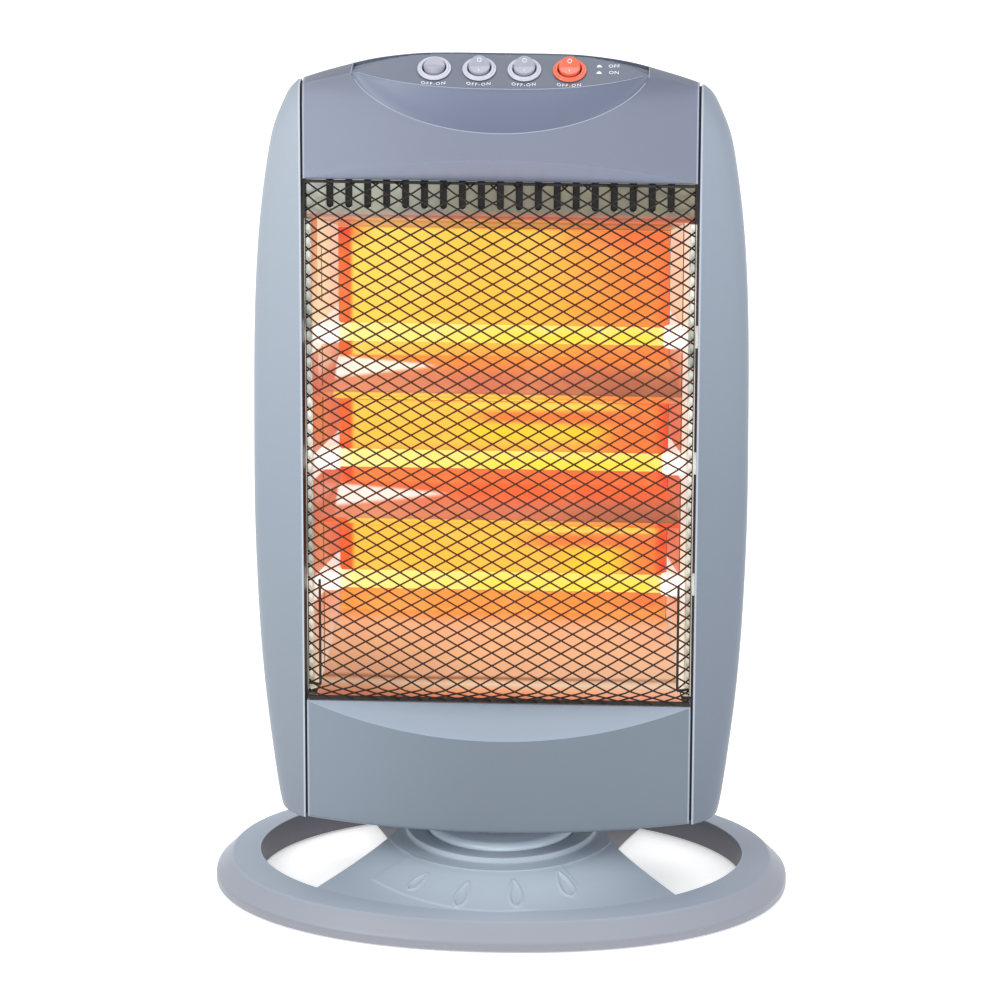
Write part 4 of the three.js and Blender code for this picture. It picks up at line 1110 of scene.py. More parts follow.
cyl = []
for x in SW_X:
    v, f = prism([(9.3 * math.cos(2 * math.pi * k / 40), 9.3 * math.sin(2 * math.pi * k / 40)) for k in range(40)], -12, 12)
    cyl.append((on_panel(x, v), f))
cut = loose("switch_holes", *join(cyl))
thicken(ob, 2.0, 0.4, 3, cutters=[cut], angle=38)

def seam_lip(points, s):
    """black lip behind a seam, 2 mm under the surface: painted shade in the seam's gap, so that the inside of the head
    doesn't show through it
    """
    P = [points[0]]
    for q in points[1:]:
        if math.hypot(q[0] - P[-1][0], q[1] - P[-1][1]) > 0.8:
            P.append(q)
    P = np.array(P, float)
    T = np.gradient(P, axis=0)
    T /= np.linalg.norm(T, axis=1)[:, None]
    N = np.stack([T[:, 1], -T[:, 0]], 1)
    V, F = [], []
    for p, n in zip(P, N):
        for x, d in ((XM - 2.0, 2.1), (SEAM + 0.5, 2.1), (SEAM + 0.5, 2.7), (XM - 2.0, 2.7)):
            V.append((s * x, float(p[0] + n[0] * d), float(p[1] + n[1] * d)))
    for i in range(len(P) - 1):
        for k in range(4):
            a, b = 4 * i + k, 4 * i + (k + 1) % 4
            F.append((a, b, b + 4, a + 4) if s > 0 else (b, a, a + 4, b + 4))
    e = 4 * (len(P) - 1)
    F += [(0, 3, 2, 1), (e, e + 1, e + 2, e + 3)] if s > 0 else [(0, 1, 2, 3), (e + 3, e + 2, e + 1, e)]
    return V, F


V, F = join([seam_lip(cols[0][1], -1), seam_lip(cols[-1][1], 1)])
build("upper_seam_shade_lips", V, F, M_painted_shade, "head", [], sharp=40)

# thin pale beads along the scoop arc, the panel lip and the panel ends: a painted highlight line
beads = []
arc_line = [(x, c[5 + NP1][0] - 0.02, c[5 + NP1][1]) for x, c in cols if abs(x) < XE - 0.01]
lip_line = [(x, c[5 + NP1 + NSC][0], c[5 + NP1 + NSC][1] + 0.02) for x, c in cols if abs(x) < XE - 0.01]
beads.append(tube_along(arc_line, 0.30, 6, up=(0, 1, 0)))
beads.append(tube_along(lip_line, 0.24, 6, up=(0, 1, 0)))
for s in (-1, 1):
    c = [c for x, c in cols if abs(x - s * XE) < 1e-6][-1 if s < 0 else 0]
    o = [c for x, c in cols if abs(x - s * XE) < 1e-6][0 if s < 0 else -1]
    run = [(s * (XE + 0.1), y, z + 0.02) for y, z in o[6 + NP1:6 + NP1 + NSC + NPA]]
    beads.append(tube_along(run, 0.26, 6, up=(1, 0, 0)))
V, F = join(beads)
build("front_top_cover_edges", V, F, M_line, "head", [], sharp=None)

# ------------------------------------------------------------------ lower front cover
cols = []
xs = np.linspace(-XM, XM, 91)
s = (128.5 - 112.4) / (-40.7 + 62)
for x in xs:
    yf0 = float(front_y(x))
    zc = 128.5 + s * (yf0 + 40.7)
    c = [(-27.0, 128.5), (-34.0, 128.5), (-40.7, 128.5)]
    c += [(-40.7 + (yf0 + 40.7) * t, 128.5 + (zc - 128.5) * t) for t in (0.2, 0.4, 0.6, 0.8)]
    c += [(yf0, zc + (56.0 - zc) * t) for t in np.linspace(0, 1, 13)]
    c += [(yf0 + 2.5 * (1 - math.cos(t)), 56.0 - 2.5 * math.sin(t)) for t in np.radians((22.5, 45, 67.5, 90))]
    c += [(yf0 + 2.5 + (YB - yf0 - 2.5) * t, 53.5) for t in np.linspace(0, 1, 15)[1:]]
    cols.append((x, c))
n = len(cols[0][1])
V = [(x, y, z) for x, c in cols for y, z in c]
F = [(k * n + j, k * n + j + 1, (k + 1) * n + j + 1, (k + 1) * n + j) for k in range(len(cols) - 1) for j in range(n - 1)]
idx = [1 if j <= 6 else 0 for k in range(len(cols) - 1) for j in range(n - 1)]
low_side = [cols[0][1][:6:-1], cols[-1][1][:6:-1]]
ob = build("front_bottom_cover_shell", V, F, [M_low, M_cres_low], "head", ["front_bottom_cover"], centre=(0, 10, 90), index=idx)
cut = loose("neck_hole", *prism([(24 * math.cos(2 * math.pi * k / 48), 24 * math.sin(2 * math.pi * k / 48)) for k in range(48)], 40, 70))
thicken(ob, 2.0, 0.4, 3, cutters=[cut])
V, F = join([seam_lip(low_side[0], -1), seam_lip(low_side[1], 1)])
build("lower_seam_shade_lips", V, F, M_painted_shade, "head", [], sharp=40)

# ------------------------------------------------------------------ guard: woven from single wires that run from edge to edge
CW, CH = 13.66, 8.12
GX, BX = 113.2, 106.3
GZ0, BZ, GZ1 = 129.4, 139.0, 450.0
KX, KZ = 0.80, 0.62


def guard_y(x, z):
    ax = np.abs(x)
    y = -50.0 + 8.6 * (np.minimum(ax, BX) / BX) ** 2
    k = np.clip((ax - BX) / (GX - BX), 0, 1)
    y = y + (-37.8 - y) * k
    k = np.clip((BZ - z) / (BZ - GZ0), 0, 1)
    y = y + (-39.6 - y) * k
    k = np.clip((z - 444.0) / 6.0, 0, 1)
    return y + (-41.5 - y) * k * k


def sheet_point(u, v):
    """flat sheet coordinates to x, z: the bent edges look narrower from the front"""
    au = abs(u)
    x = au if au < BX else BX + (au - BX) * KX
    z = v if v > BZ else BZ - (BZ - v) * KZ
    return math.copysign(x, u), z


UX = BX + (GX - BX) / KX
VZ0 = BZ - (BZ - GZ0) / KZ
slope = CH / CW
parts = []
PH = 241.2
for fam in (1, -1):
    k0, k1 = -60, 60
    for k in range(k0, k1):
        # v = PH + fam * slope * u + k * CH
        pts = []
        for u in np.linspace(-UX, UX, 141):
            v = PH + 4.06 + fam * slope * (u + 3.4) + k * CH
            if VZ0 <= v <= GZ1:
                pts.append((u, v))
        if len(pts) < 3:
            continue
        # carry the ends to the border
        Q = []
        for u, v in pts:
            x, z = sheet_point(u, v)
            Q.append((x, float(guard_y(x, z)) + (0.42 if fam > 0 else -0.42), z))
        step = 2 if len(Q) > 8 else 1
        Q = Q[::step] + ([Q[-1]] if (len(Q) - 1) % step else [])
        parts.append(tube_along(Q, 0.54, 6, up=(0, 1, 0)))
V, F = join(parts)
build("guard_wires", V, F, M_wire, "head", ["guard_grille"], sharp=None)

# black strips round the guard's folded edge: painted shade of the gap between guard and cover
edge = []


def strip(P, N, w, t):
    """a flat bar along P, w wide across N, t thick in depth"""
    P = np.array(P, float)
    N = np.array(N, float)
    V = []
    for p, q in zip(P, N):
        for a, b in ((-1, -1), (1, -1), (1, 1), (-1, 1)):
            V.append((p[0] + q[0] * a * w / 2, p[1] + b * t / 2, p[2] + q[2] * a * w / 2))
    m = len(P)
    F = [(i * 4 + k, i * 4 + (k + 1) % 4, (i + 1) * 4 + (k + 1) % 4, (i + 1) * 4 + k) for i in range(m - 1) for k in range(4)]
    F += [(3, 2, 1, 0), tuple((m - 1) * 4 + k for k in range(4))]
    return V, F


hx = np.linspace(-GX, GX, 60)
edge.append(strip([(x, float(guard_y(x, GZ0)), GZ0 + 0.9) for x in hx], [(0, 0, 1)] * 60, 2.2, 1.8))
edge.append(strip([(x, float(guard_y(x, GZ1)), GZ1 - 0.5) for x in hx], [(0, 0, 1)] * 60, 1.4, 1.8))
for s in (-1, 1):
    hz = np.linspace(GZ0, GZ1, 60)
    edge.append(strip([(s * (GX + 0.2), float(guard_y(GX, z)), z) for z in hz], [(1, 0, 0)] * 60, 0.5, 1.6))
    # bend line of the folded edge, a black tube: painted shade in the bend
    hz = np.linspace(BZ, 205, 16)
    edge.append(tube_along([(s * (BX + 0.0), float(guard_y(BX, z)) + 0.9, z) for z in hz], 0.75, 6, up=(0, 1, 0)))
    edge.append(tube_along([(s * BX, float(guard_y(BX, BZ)) + 0.6, BZ), (s * (GX - 0.4), float(guard_y(GX, BZ)) + 0.4, BZ - 0.4)], 0.9, 6, up=(0, 1, 0)))
V, F = join(edge)
build("guard_edge_shade_strips", V, F, M_guard_shade, "head", [], sharp=30)

# ------------------------------------------------------------------ reflector
REFL = [(14, 408), (14, 327.3), (-24, 317), (-25, 315.6), (-24, 314.2), (14, 301.5), (14, 247.8), (-24, 238.8), (-25, 237.4), (-24, 236),
        (14, 223), (14, 167.2), (-30, 133.2), (-35, 131)]


def reflector_line():
    """rounded polyline through the reflector's points"""
    pts = [(-35.6, 427.6)] + REFL + [(-40.0, 129.1)]
    kinds = [6, 0, 1, 1, 3, 3, 2, 3, 3, 5, 5, 4, 7, 7, 7]
    out, kk = [], []
    P = rounded(pts, 3.2, 4, closed=False)
    per = 5
    for i, p in enumerate(P):
        out.append(p)
    return out


line = reflector_line()
dense = []
for i in range(len(line) - 1):
    a, b = np.array(line[i]), np.array(line[i + 1])
    m = max(1, int(np.linalg.norm(b - a) / 5))
    for k in range(m):
        dense.append(a + (b - a) * k / m)
dense.append(np.array(line[-1]))
nx = 49
xs = np.linspace(-97.6, 97.6, nx)
half = lambda y: 98.0 + max(0.0, min(13.0, 13.0 - y) if y < 13 else 0.0) * 0.0 + max(0.0, (13.0 - y)) / 48.5 * 11.2 - (0.25 if y < 13 else 0.0)
V = [(x / 97.6 * half(p[0]), p[0], p[1]) for p in dense for x in xs]
F, idx = [], []
for r in range(len(dense) - 1):
    y = (dense[r][0] + dense[r + 1][0]) / 2
    z = (dense[r][1] + dense[r + 1][1]) / 2
    if z > 408:
        m = 6
    elif y > 13.2:
        m = 0 if z > 320 else (1 if z > 240 else 2)
    elif z > 316.4:
        m = 3
    elif z > 302:
        m = 1
    elif z > 238.3:
        m = 4
    elif z > 222:
        m = 2
    else:
        m = 5
    for c in range(nx - 1):
        a = r * nx + c
        F.append((a, a + 1, a + nx + 1, a + nx))
        idx.append(m)
ob = build("reflector_sheet", V, F, [M_panel1, M_panel2, M_panel3, M_floor1, M_floor2, M_floor3, M_ceil1], "head", ["reflector"],
           centre=(0, -200, 280), index=idx)
# normals face the window, so the thickness goes to the rear
ob.data.flip_normals()
m = ob.modifiers.new("thick", "SOLIDIFY")
m.thickness = 0.8 * MM
m.offset = 1.0
finish_mods(ob, 30)

# slotted flange: bars between rounded slots, with rolled rims
zt, zb = 449.5, 428.4
fl = []
N = 19
pitch, sw = 11.0, 4.1
V, F = [], []
outline_rows = []
xsf = []
for i in range(N):
    c = (i - (N - 1) / 2) * pitch
    xsf.append(c)


def flange_mesh():
    """a plate with slots: each cell is a ring of quads between the slot outline and the cell border"""
    V, F, dark = [], [], []

    def add(p):
        V.append(p)
        return len(V) - 1
    half = pitch / 2
    zs0, zs1 = 432.3, 449.4
    for c in xsf:
        slot_, bord = [], []
        r = sw / 2
        for k in range(9):
            a = math.pi + math.pi * k / 8
            slot_.append((c + r * math.cos(a), zs0 + r + r * math.sin(a)))
        slot_ += [(c + r, zs0 + r + (zs1 - zs0 - r) * t) for t in (0.5, 1.0)]
        slot_ = [(c - r, zs0 + r + (zs1 - zs0 - r) * t) for t in (1.0, 0.5)] + slot_
        for k, (px, pz) in enumerate(slot_):
            if k <= 1:
                bord.append((c - half, pz))
            elif k >= len(slot_) - 2:
                bord.append((c + half, pz))
            else:
                t = (k - 2) / 8
                if t < 0.25:
                    bord.append((c - half, zs0 + r + (zb - zs0 - r) * (t / 0.25)))
                elif t <= 0.75:
                    bord.append((c - half + pitch * (t - 0.25) / 0.5, zb))
                else:
                    bord.append((c + half, zb + (zs0 + r - zb) * ((t - 0.75) / 0.25)))
        m = len(slot_)
        rows_ = []
        for t, lift in ((0.0, 0.9), (0.0, 0.0), (0.12, -0.35), (0.28, 0.0), (1.0, 0.0)):
            rows_.append([add((sx_ + (bx_ - sx_) * t, -36.0 + lift, sz_ + (bz_ - sz_) * t)) for (sx_, sz_), (bx_, bz_) in zip(slot_, bord)])
        # the first ring, the slot's wall, takes the black painted shade
        for q, (a, b) in enumerate(zip(rows_[:-1], rows_[1:])):
            for k in range(m - 1):
                F.append((a[k], a[k + 1], b[k + 1], b[k]))
                dark.append(1 if q == 0 else 0)
    # plain ends
    xe = xsf[-1] + half
    for s in (-1, 1):
        g_ = [[add((s * (xe + (112.6 - xe) * i / 3), -36.0, zb + (zs1 - zb) * j / 4)) for i in range(4)] for j in range(5)]
        for j in range(4):
            for i in range(3):
                F.append((g_[j][i], g_[j][i + 1], g_[j + 1][i + 1], g_[j + 1][i]))
    # rolled lower lip
    lip = [(-36.0, zb), (-36.6, zb - 0.8), (-36.3, zb - 1.9), (-35.0, zb - 2.6), (-33.0, zb - 3.2)]
    xx = np.linspace(-112.6, 112.6, 61)
    g_ = [[add((x, y, z)) for x in xx] for y, z in lip]
    for j in range(len(lip) - 1):
        for i in range(60):
            F.append((g_[j][i], g_[j][i + 1], g_[j + 1][i + 1], g_[j + 1][i]))
    return V, F, dark + [0] * (len(F) - len(dark))


V, F, dark = flange_mesh()
ob = build("reflector_flange", V, F, [M_flange, M_painted_shade], "head", [], centre=(0, 200, 440), index=dark)
m = ob.modifiers.new("thick", "SOLIDIFY")
m.thickness = 0.7 * MM
m.offset = -1.0
finish_mods(ob, 40)

# black sheet behind the slots: painted shade of the dark space there
V, F = prism([(-112, 430.4), (112, 430.4), (112, 456), (-112, 456)], -34.6, -33.8, "y")
build("slot_shade_backing", V, F, M_painted_shade, "head", [])

# ------------------------------------------------------------------ angled end strips with tube holes, and the sheet at the window's sides
for s, nm in ((-1, "left"), (1, "right")):
    pl = [(98.2, 15.5), (98.6, 12.6), (109.4, -34.2), (110.6, -35.2), (114.2, -35.2)]
    P = rounded(pl, 1.2, 3, closed=False)
    zz = np.linspace(133.5, 425, 60)
    V = [(s * p[0], p[1], z) for z in zz for p in P]
    F = grid_faces(len(zz), len(P))
    idx = []
    for r in range(len(zz) - 1):
        for c in range(len(P) - 1):
            idx.append(1 if (P[c][0] + P[c + 1][0]) / 2 > 110.2 else 0)
    ob = build("tube_bracket_%s_plate" % nm, V, F, [M_strip[s], M_edge], "head", ["tube_bracket_" + nm], centre=(s * 300, 60, 280), index=idx)
    cyl = []
    for z in TUBE_Z:
        cyl.append(prism([(-15 + 7.7 * math.cos(2 * math.pi * k / 32), z + 7.7 * math.sin(2 * math.pi * k / 32)) for k in range(32)], min(s * 90, s * 125), max(s * 90, s * 125), "x"))
    cut = loose("cap_holes_" + nm, *join(cyl))
    thicken(ob, 0.9, 0.0, cutters=[cut])

# ------------------------------------------------------------------ tubes, coils and ceramic ends
for i, z in enumerate(TUBE_Z):
    k = i + 1
    h = 113.0
    prof = [(4.5, -h), (5.0, -h - 0.0), (5.3, -h + 0.6), (5.3, -h + 30), (5.3, h - 30), (5.3, h - 0.6), (5.0, h), (4.5, h)]
    V, F = lathe(prof, 32, (0, -15, z), "x")
    build("quartz_tube_%d_glass" % k, V, F, M_tube, "head", ["quartz_tube_%d" % k])
    P = []
    turns, L = 96, 190.0
    for j in range(turns * 8 + 1):
        t = j / (turns * 8)
        a = 2 * math.pi * turns * t
        P.append((-L / 2 + L * t, -15 + 1.4 * math.cos(a), z + 1.4 * math.sin(a)))
    P = [(-113.5, -15, z), (-97, -15, z)] + P + [(97, -15, z), (113.5, -15, z)]
    V, F = tube_along(P, 0.35, 4, up=(1, 0.01, 0.02))
    build("filament_%d_coil" % k, V, F, M_coil, "head", ["filament_%d" % k], sharp=None)
    for s, nm in ((-1, "left"), (1, "right")):
        prof = rounded([(0.0, h + 2.6), (6.6, h + 2.6), (6.6, h - 5.0), (7.3, h - 6.0), (7.3, h - 14.2), (6.2, h - 17.6), (5.45, h - 17.6), (5.45, h - 4.0), (0.0, h - 4.0)], 0.5, 3, closed=False)
        V, F = lathe([(a, s * b) for a, b in prof], 32, (0, -15, z), "x", closed=False)
        build("ceramic_cap_%s_%d_body" % (nm, k), V, F, M_ceramic, "head", ["ceramic_cap_%s_%d" % (nm, k)])

# ------------------------------------------------------------------ switches
ROCK = 13.0
for i, x in enumerate(SW_X):
    col = M_orange if i == 3 else M_grey
    prof = rounded([(9.05, -12.3), (9.05, 0.35), (9.75, 0.35), (9.8, 0.8), (9.4, 1.2), (8.7, 1.3), (8.3, 1.9), (7.5, 2.1), (7.0, 1.7), (6.85, 0.8), (6.85, -9.0), (0.0, -9.5), (0.0, -12.3)], 0.3, 3)
    V, F = lathe(prof, 64)
    V = on_panel(x, V)
    build("switch_housing_%d_bezel" % (i + 1), V, F, col, "head", ["switch_housing_%d" % (i + 1)], sharp=50)
    # rocker: round key with a shallow V and softened rim
    ang = math.radians(-ROCK if i == 0 else ROCK)
    R = 6.2
    nr, na = 12, 72
    V, F = [], []

    def top(px, py):
        v = abs(py)
        soft = (v * v / 2.4 + 0.6) if v < 1.2 else v
        return (2.4 if i == 0 else 3.5) + 0.32 * soft - 0.010 * px * px
    rings = [(R * t, None) for t in np.linspace(0, 0.93, nr)[1:]]
    V.append((0, 0, top(0, 0)))
    for r, _ in rings:
        for k in range(na):
            a = 2 * math.pi * k / na
            px, py = r * math.cos(a), r * math.sin(a)
            V.append((px, py, top(px, py)))
    for dr, dz in ((0.975, -0.14), (0.995, -0.42), (1.0, -0.9)):
        for k in range(na):
            a = 2 * math.pi * k / na
            px, py = R * math.cos(a), R * math.sin(a)
            V.append((px * dr, py * dr, top(px, py) + dz))
    for k in range(na):
        a = 2 * math.pi * k / na
        V.append((R * 0.92 * math.cos(a), R * 0.92 * math.sin(a), -3.4))
    rows_n = len(rings) + 4
    for k in range(na):
        F.append((0, 1 + k, 1 + (k + 1) % na))
    for r in range(rows_n - 1):
        for k in range(na):
            a = 1 + r * na + k
            b = 1 + r * na + (k + 1) % na
            F.append((a, a + na, b + na, b))
    F.append(tuple(1 + (rows_n - 1) * na + k for k in range(na)))
    c, s = math.cos(ang), math.sin(ang)
    turn = lambda pts: [(p[0], p[1] * c - p[2] * s, p[1] * s + p[2] * c + 0.45) for p in pts]
    build("switch_rocker_%d_key" % (i + 1), on_panel(x, turn(V)), F, M_orange if i == 3 else M_key, "rocker_%d" % (i + 1), ["switch_rocker_%d" % (i + 1)], sharp=55)
    # printed O and I
    parts = []
    P = [(1.1 * math.cos(2 * math.pi * k / 28), 3.4 + 1.1 * math.sin(2 * math.pi * k / 28)) for k in range(28)]
    parts.append(tube_along([(a, b, top(a, b) + 0.02) for a, b in P], 0.2, 6, closed=True))
    parts.append(tube_along([(0, b, top(0, b) + 0.02) for b in (-4.3, -3.6, -2.9, -2.3)], 0.2, 6))
    if i:
        V, F = join(parts)
        build("switch_mark_%d" % (i + 1), on_panel(x, turn(V)), F, M_mark, "rocker_%d" % (i + 1), [], sharp=None)


def word(text, size, at, spacing=1.0, thick=0.12, arc=0.0, slant=0.0):
    """Printed letters laid on the control panel, as low raised print."""
    cu = bpy.data.curves.new("print", "FONT")
    cu.body = text
    cu.size = size
    cu.extrude = thick / 2
    cu.space_character = spacing
    cu.align_x = "CENTER"
    cu.resolution_u = 3
    ob = bpy.data.objects.new("print_tmp", cu)
    scene.collection.objects.link(ob)
    dg = bpy.context.evaluated_depsgraph_get()
    me = bpy.data.meshes.new_from_object(ob.evaluated_get(dg))
    V = [tuple(v.co) for v in me.vertices]
    F = [tuple(p.vertices) for p in me.polygons]
    bpy.data.objects.remove(ob, do_unlink=True)
    bpy.data.curves.remove(cu)
    bpy.data.meshes.remove(me)
    out = []
    for vx, vy, vz in V:
        yy = vy + arc * vx * vx
        out.append((at[0] + vx, at[1] + yy, vz + 0.12))
    return out, F


# marks below each switch and beside the last one: OFF-ON, OFF and ON, and two small pointed marks
marks = []
for i, x in enumerate(SW_X):
    v, f = word("OFF-ON", 3.3, (0, -13.5), 1.25, arc=0.020)
    marks.append((on_panel(x, v), f))
v, f = word("OFF", 3.6, (0, 0), 1.1)
marks.append((on_panel(SW_X[3] + 25.5, [(a, b + 3.2, c) for a, b, c in v]), f))
v, f = word("ON", 3.6, (0, 0), 1.1)
marks.append((on_panel(SW_X[3] + 25.5, [(a, b - 2.2, c) for a, b, c in v]), f))
for dy in (4.2, -1.2):
    o = [(-1.6, -0.9), (1.6, -0.9), (1.1, 0.4), (0.0, 1.2), (-1.1, 0.4)]
    v, f = prism([(a, b + dy) for a, b in o], 0.06, 0.18)
    marks.append((on_panel(SW_X[3] + 17.0, v), f))
V, F = join(marks)
build("panel_marks", V, F, M_mark, "head", [], sharp=30)

# ------------------------------------------------------------------ neck collar
prof = rounded([(23.3, 33.9), (45.2, 33.9), (45.7, 34.6), (45.7, 36.4), (44.9, 38.4), (42.8, 40.0), (34.0, 41.7), (23.3, 42.4)], 1.2, 4)
V, F = lathe(prof, 128)
build("swivel_collar_cap", V, F, M_collar, "head", ["swivel_collar"], sharp=60)

# ------------------------------------------------------------------ base
BA, BB, BP = 173.4, 118.0, 2.15
HA, HB, WAIST, FLARE, FLARE_REAR = 146.5, 99.6, 63.0, 1.28, 0.65


def super_r(th, a, b, p):
    return (abs(math.cos(th) / a) ** p + abs(math.sin(th) / b) ** p) ** (-1.0 / p)


def hole_in(th):
    f = FLARE_REAR if math.sin(th) > 0 else FLARE
    k = math.cos(th) ** 2 - f ** 2 * math.sin(th) ** 2
    return WAIST / math.sqrt(k) if k > 1e-6 else 1e9


def hole_out(th):
    return super_r(th, HA, HB, 2.0)


def corner_angle(sign):
    """angle from the X axis at which bridge edge and outer ellipse meet, in front (-1) or behind (+1)"""
    lo, hi = 0.1, 1.3
    for _ in range(60):
        m = (lo + hi) / 2
        if hole_in(sign * m) < hole_out(m):
            lo = m
        else:
            hi = m
    return lo


TCF, TCR = corner_angle(-1), corner_angle(1)


def smooth(t):
    t = clamp01(t)
    return t * t * (3 - 2 * t)


def plaque(x, y):
    """a slightly raised fan at the front of the hub; the four raised drops on it come from drop()"""
    r = math.hypot(x, y)
    a = math.degrees(math.atan2(x, -y))
    m = smooth((r - 66.5) / 1.2) * smooth((100.5 - r) / 1.2) * smooth((34.5 - a) / 1.1) * smooth((a + 50) / 3.0)
    m *= 1 - smooth((a - 6) / 12) * smooth((r - 78) / 18)
    return 0.55 * m if y < 0 else 0.0


DROPS = [(-46.5, -75.0, -40.0, 0.8), (-19.0, -88.0, -18.0, 0.95), (12.5, -87.0, 9.0, 1.0), (41.5, -75.0, 27.0, 1.05)]


def drop(x, y):
    """height of the drop shapes: a raised rim round a hollow, pointing at the hub"""
    h = 0.0
    for cx, cy, an, k in DROPS:
        a = math.radians(an)
        dx, dy = (x - cx) / k, (y - cy) / k
        u = abs(dx * math.cos(a) + dy * math.sin(a))
        v = -dx * math.sin(a) + dy * math.cos(a)
        if u > 8 or abs(v) > 14:
            continue
        t = (v + 9.0) / 19.0
        if 0 < t < 1:
            w = 8.6 * math.sqrt(t) * (1 - t) ** 0.95
            d = (u - w) * 0.93
        else:
            d = math.hypot(u, min(abs(v + 9), abs(v - 10)))
        h += 0.85 * math.exp(-((d - 0.35) / 0.8) ** 2) - 0.75 * smooth((-d + 0.1) / 1.5)
    return h


def base_z(r, th, r_out):
    """height of the top of the base at polar position"""
    x, y = r * math.cos(th), r * math.sin(th)
    re = hole_out(th)
    rb = super_r(th, BA - 10.3, BB - 10.3, BP)
    if r <= 69.5:
        z = 33.1
    elif r <= re:
        t = (r - 69.5) / max(re - 69.5, 1e-6)
        z = 33.1 - 13.7 * (t + 0.045 * math.sin(math.pi * t) * 0)
        z -= 0.35 * (1 - smooth((r - 69.5) / 6.0)) * smooth((r - 69.5) / 1.0)
    else:
        t = (r - re) / max(rb - re, 1e-6)
        z = 19.4 - 2.7 * (0.6 * t + 0.4 * t * t)
    z += plaque(x, y) + drop(x, y)
    return z


def base_mesh():
    fine = []
    for k in range(360):
        fine.append(2 * math.pi * k / 360)
    # denser at the front, where the fine relief is
    k = math.radians(225)
    while k < math.radians(318):
        fine.append(k)
        k += math.radians(0.42)
    for s in (TCR, math.pi - TCR, math.pi + TCF, 2 * math.pi - TCF):
        fine = [t for t in fine if abs(t - s) > 0.004] + [s]
    th = sorted(set(round(t, 6) for t in fine))
    N1 = 78
    N2 = 22
    V, F, tone = [], [], []
    wall_in, wall_out = [], []
    ncol = len(th)
    prof_hub = [(24.0, 33.4), (45.9, 33.4), (46.2, 33.6), (46.35, 35.8), (46.7, 36.25), (47.3, 36.3), (56.6, 36.3), (57.3, 36.2), (57.7, 35.7), (58.1, 33.7), (58.6, 33.2), (60.0, 33.1), (64.0, 33.1), (68.6, 33.1), (69.5, 33.05)]
    for t in th:
        inhole = -math.sin(TCF) - 1e-6 < math.sin(t) < math.sin(TCR) + 1e-6
        re = hole_out(t)
        ra = min(hole_in(t), re) if inhole else re
        rb = re
        col = [(min(r, ra) * math.cos(t), min(r, ra) * math.sin(t), z) for r, z in prof_hub]
        # inner part: from the hub to ra
        for k in range(1, N1 + 1):
            u = k / N1
            r = 69.5 + (ra - 69.5) * u if ra > 69.5 else ra
            z = base_z(r, t, re)
            col.append((r * math.cos(t), r * math.sin(t), z))
        # outer part: from rb to the bevel, then over the rim
        ro = super_r(t, BA - 10.3, BB - 10.3, BP)
        for k in range(N2 + 1):
            u = k / N2
            r = rb + (ro - 0.5 - rb) * u
            col.append((r * math.cos(t), r * math.sin(t), base_z(r, t, re)))
        rim = []
        for d, z in ((10.05, 16.62), (9.6, 16.25), (9.0, 15.7), (6.0, 12.55), (2.2, 8.7), (0.9, 7.35), (0.4, 6.75), (0.1, 6.05), (0.0, 5.3), (0.0, 2.0), (0.15, 1.35), (0.6, 0.85), (1.6, 0.8), (2.6, 0.85), (2.6, 5.4), (5.0, 8.0)):
            r = super_r(t, BA - d, BB - d, BP)
            rim.append((r * math.cos(t), r * math.sin(t), z))
        col += rim
        V.extend(col)
    n = len(prof_hub) + N1 + N2 + 1 + 16
    jin = len(prof_hub) + N1 - 1
    jout = jin + 1
    for k in range(ncol):
        k2 = (k + 1) % ncol
        tm = (th[k] + (th[k2] if k2 else th[k2] + 2 * math.pi)) / 2
        hole = -math.sin(TCF) < math.sin(tm) < math.sin(TCR)
        for j in range(n - 1):
            if j == jin:
                continue
            a, b = k * n + j, k2 * n + j
            F.append((a, a + 1, b + 1, b))
        if hole:
            wall_in.append((k, k2))
            wall_out.append((k, k2))
    # hole walls: rounded top edge, down to the rim level, then back up inside
    extra = {}

    def wall_pts(k, inner):
        key = (k, inner)
        if key in extra:
            return extra[key]
        j = jin if inner else jout
        x, y, z = V[k * n + j]
        r = math.hypot(x, y)
        s = 1.0 if inner else -1.0
        ids = [k * n + j]
        dirx, diry = x / r, y / r
        for dr, zz in ((0.30, z - 0.22), (0.42, z - 0.75), (0.42, 8.0), (0.42, 2.0), (0.1, 1.45), (-0.6, 1.4), (-1.9, 1.4), (-2.2, 1.9), (-2.2, z - 3.0)):
            V.append((x + dirx * s * (dr - 0.42), y + diry * s * (dr - 0.42), zz))
            ids.append(len(V) - 1)
        extra[key] = ids
        return ids
    for inner in (True, False):
        for k, k2 in (wall_in if inner else wall_out):
            a, b = wall_pts(k, inner), wall_pts(k2, inner)
            for q in range(len(a) - 1):
                F.append((a[q], a[q + 1], b[q + 1], b[q]) if inner else (a[q], b[q], b[q + 1], a[q + 1]))
                tone.append(1 if q >= 2 else 0)
    return V, F, [0] * (len(F) - len(tone)) + tone


V, F, tone = base_mesh()
build("base_cover_shell", V, F, [M_base, M_wall], "base", ["base_cover"], sharp=50, centre=(0, 0, -200), index=tone)

# bearing boss under the hub, seen through the neck gap
V, F = lathe([(23.3, 12.8), (27.5, 12.8), (27.5, 33.0), (23.3, 33.0)], 64)
build("base_bearing_boss", V, F, M_base, "base", [])

# ------------------------------------------------------------------ feet, screws, inlet bush
k = 0
for sx in (-1, 1):
    for sy in (-1, 1):
        k += 1
        prof = rounded([(0.01, 0.0), (7.0, 0.0), (7.8, 0.8), (7.8, 2.2), (3.6, 2.2), (3.6, 7.0), (0.01, 7.0)], 0.5, 3, closed=False)
        V, F = lathe(prof, 40, (sx * 126, sy * 66, 0), closed=False)
        build("foot_%d_pad" % k, V, F, M_rubber, "base", ["foot_%d" % k])


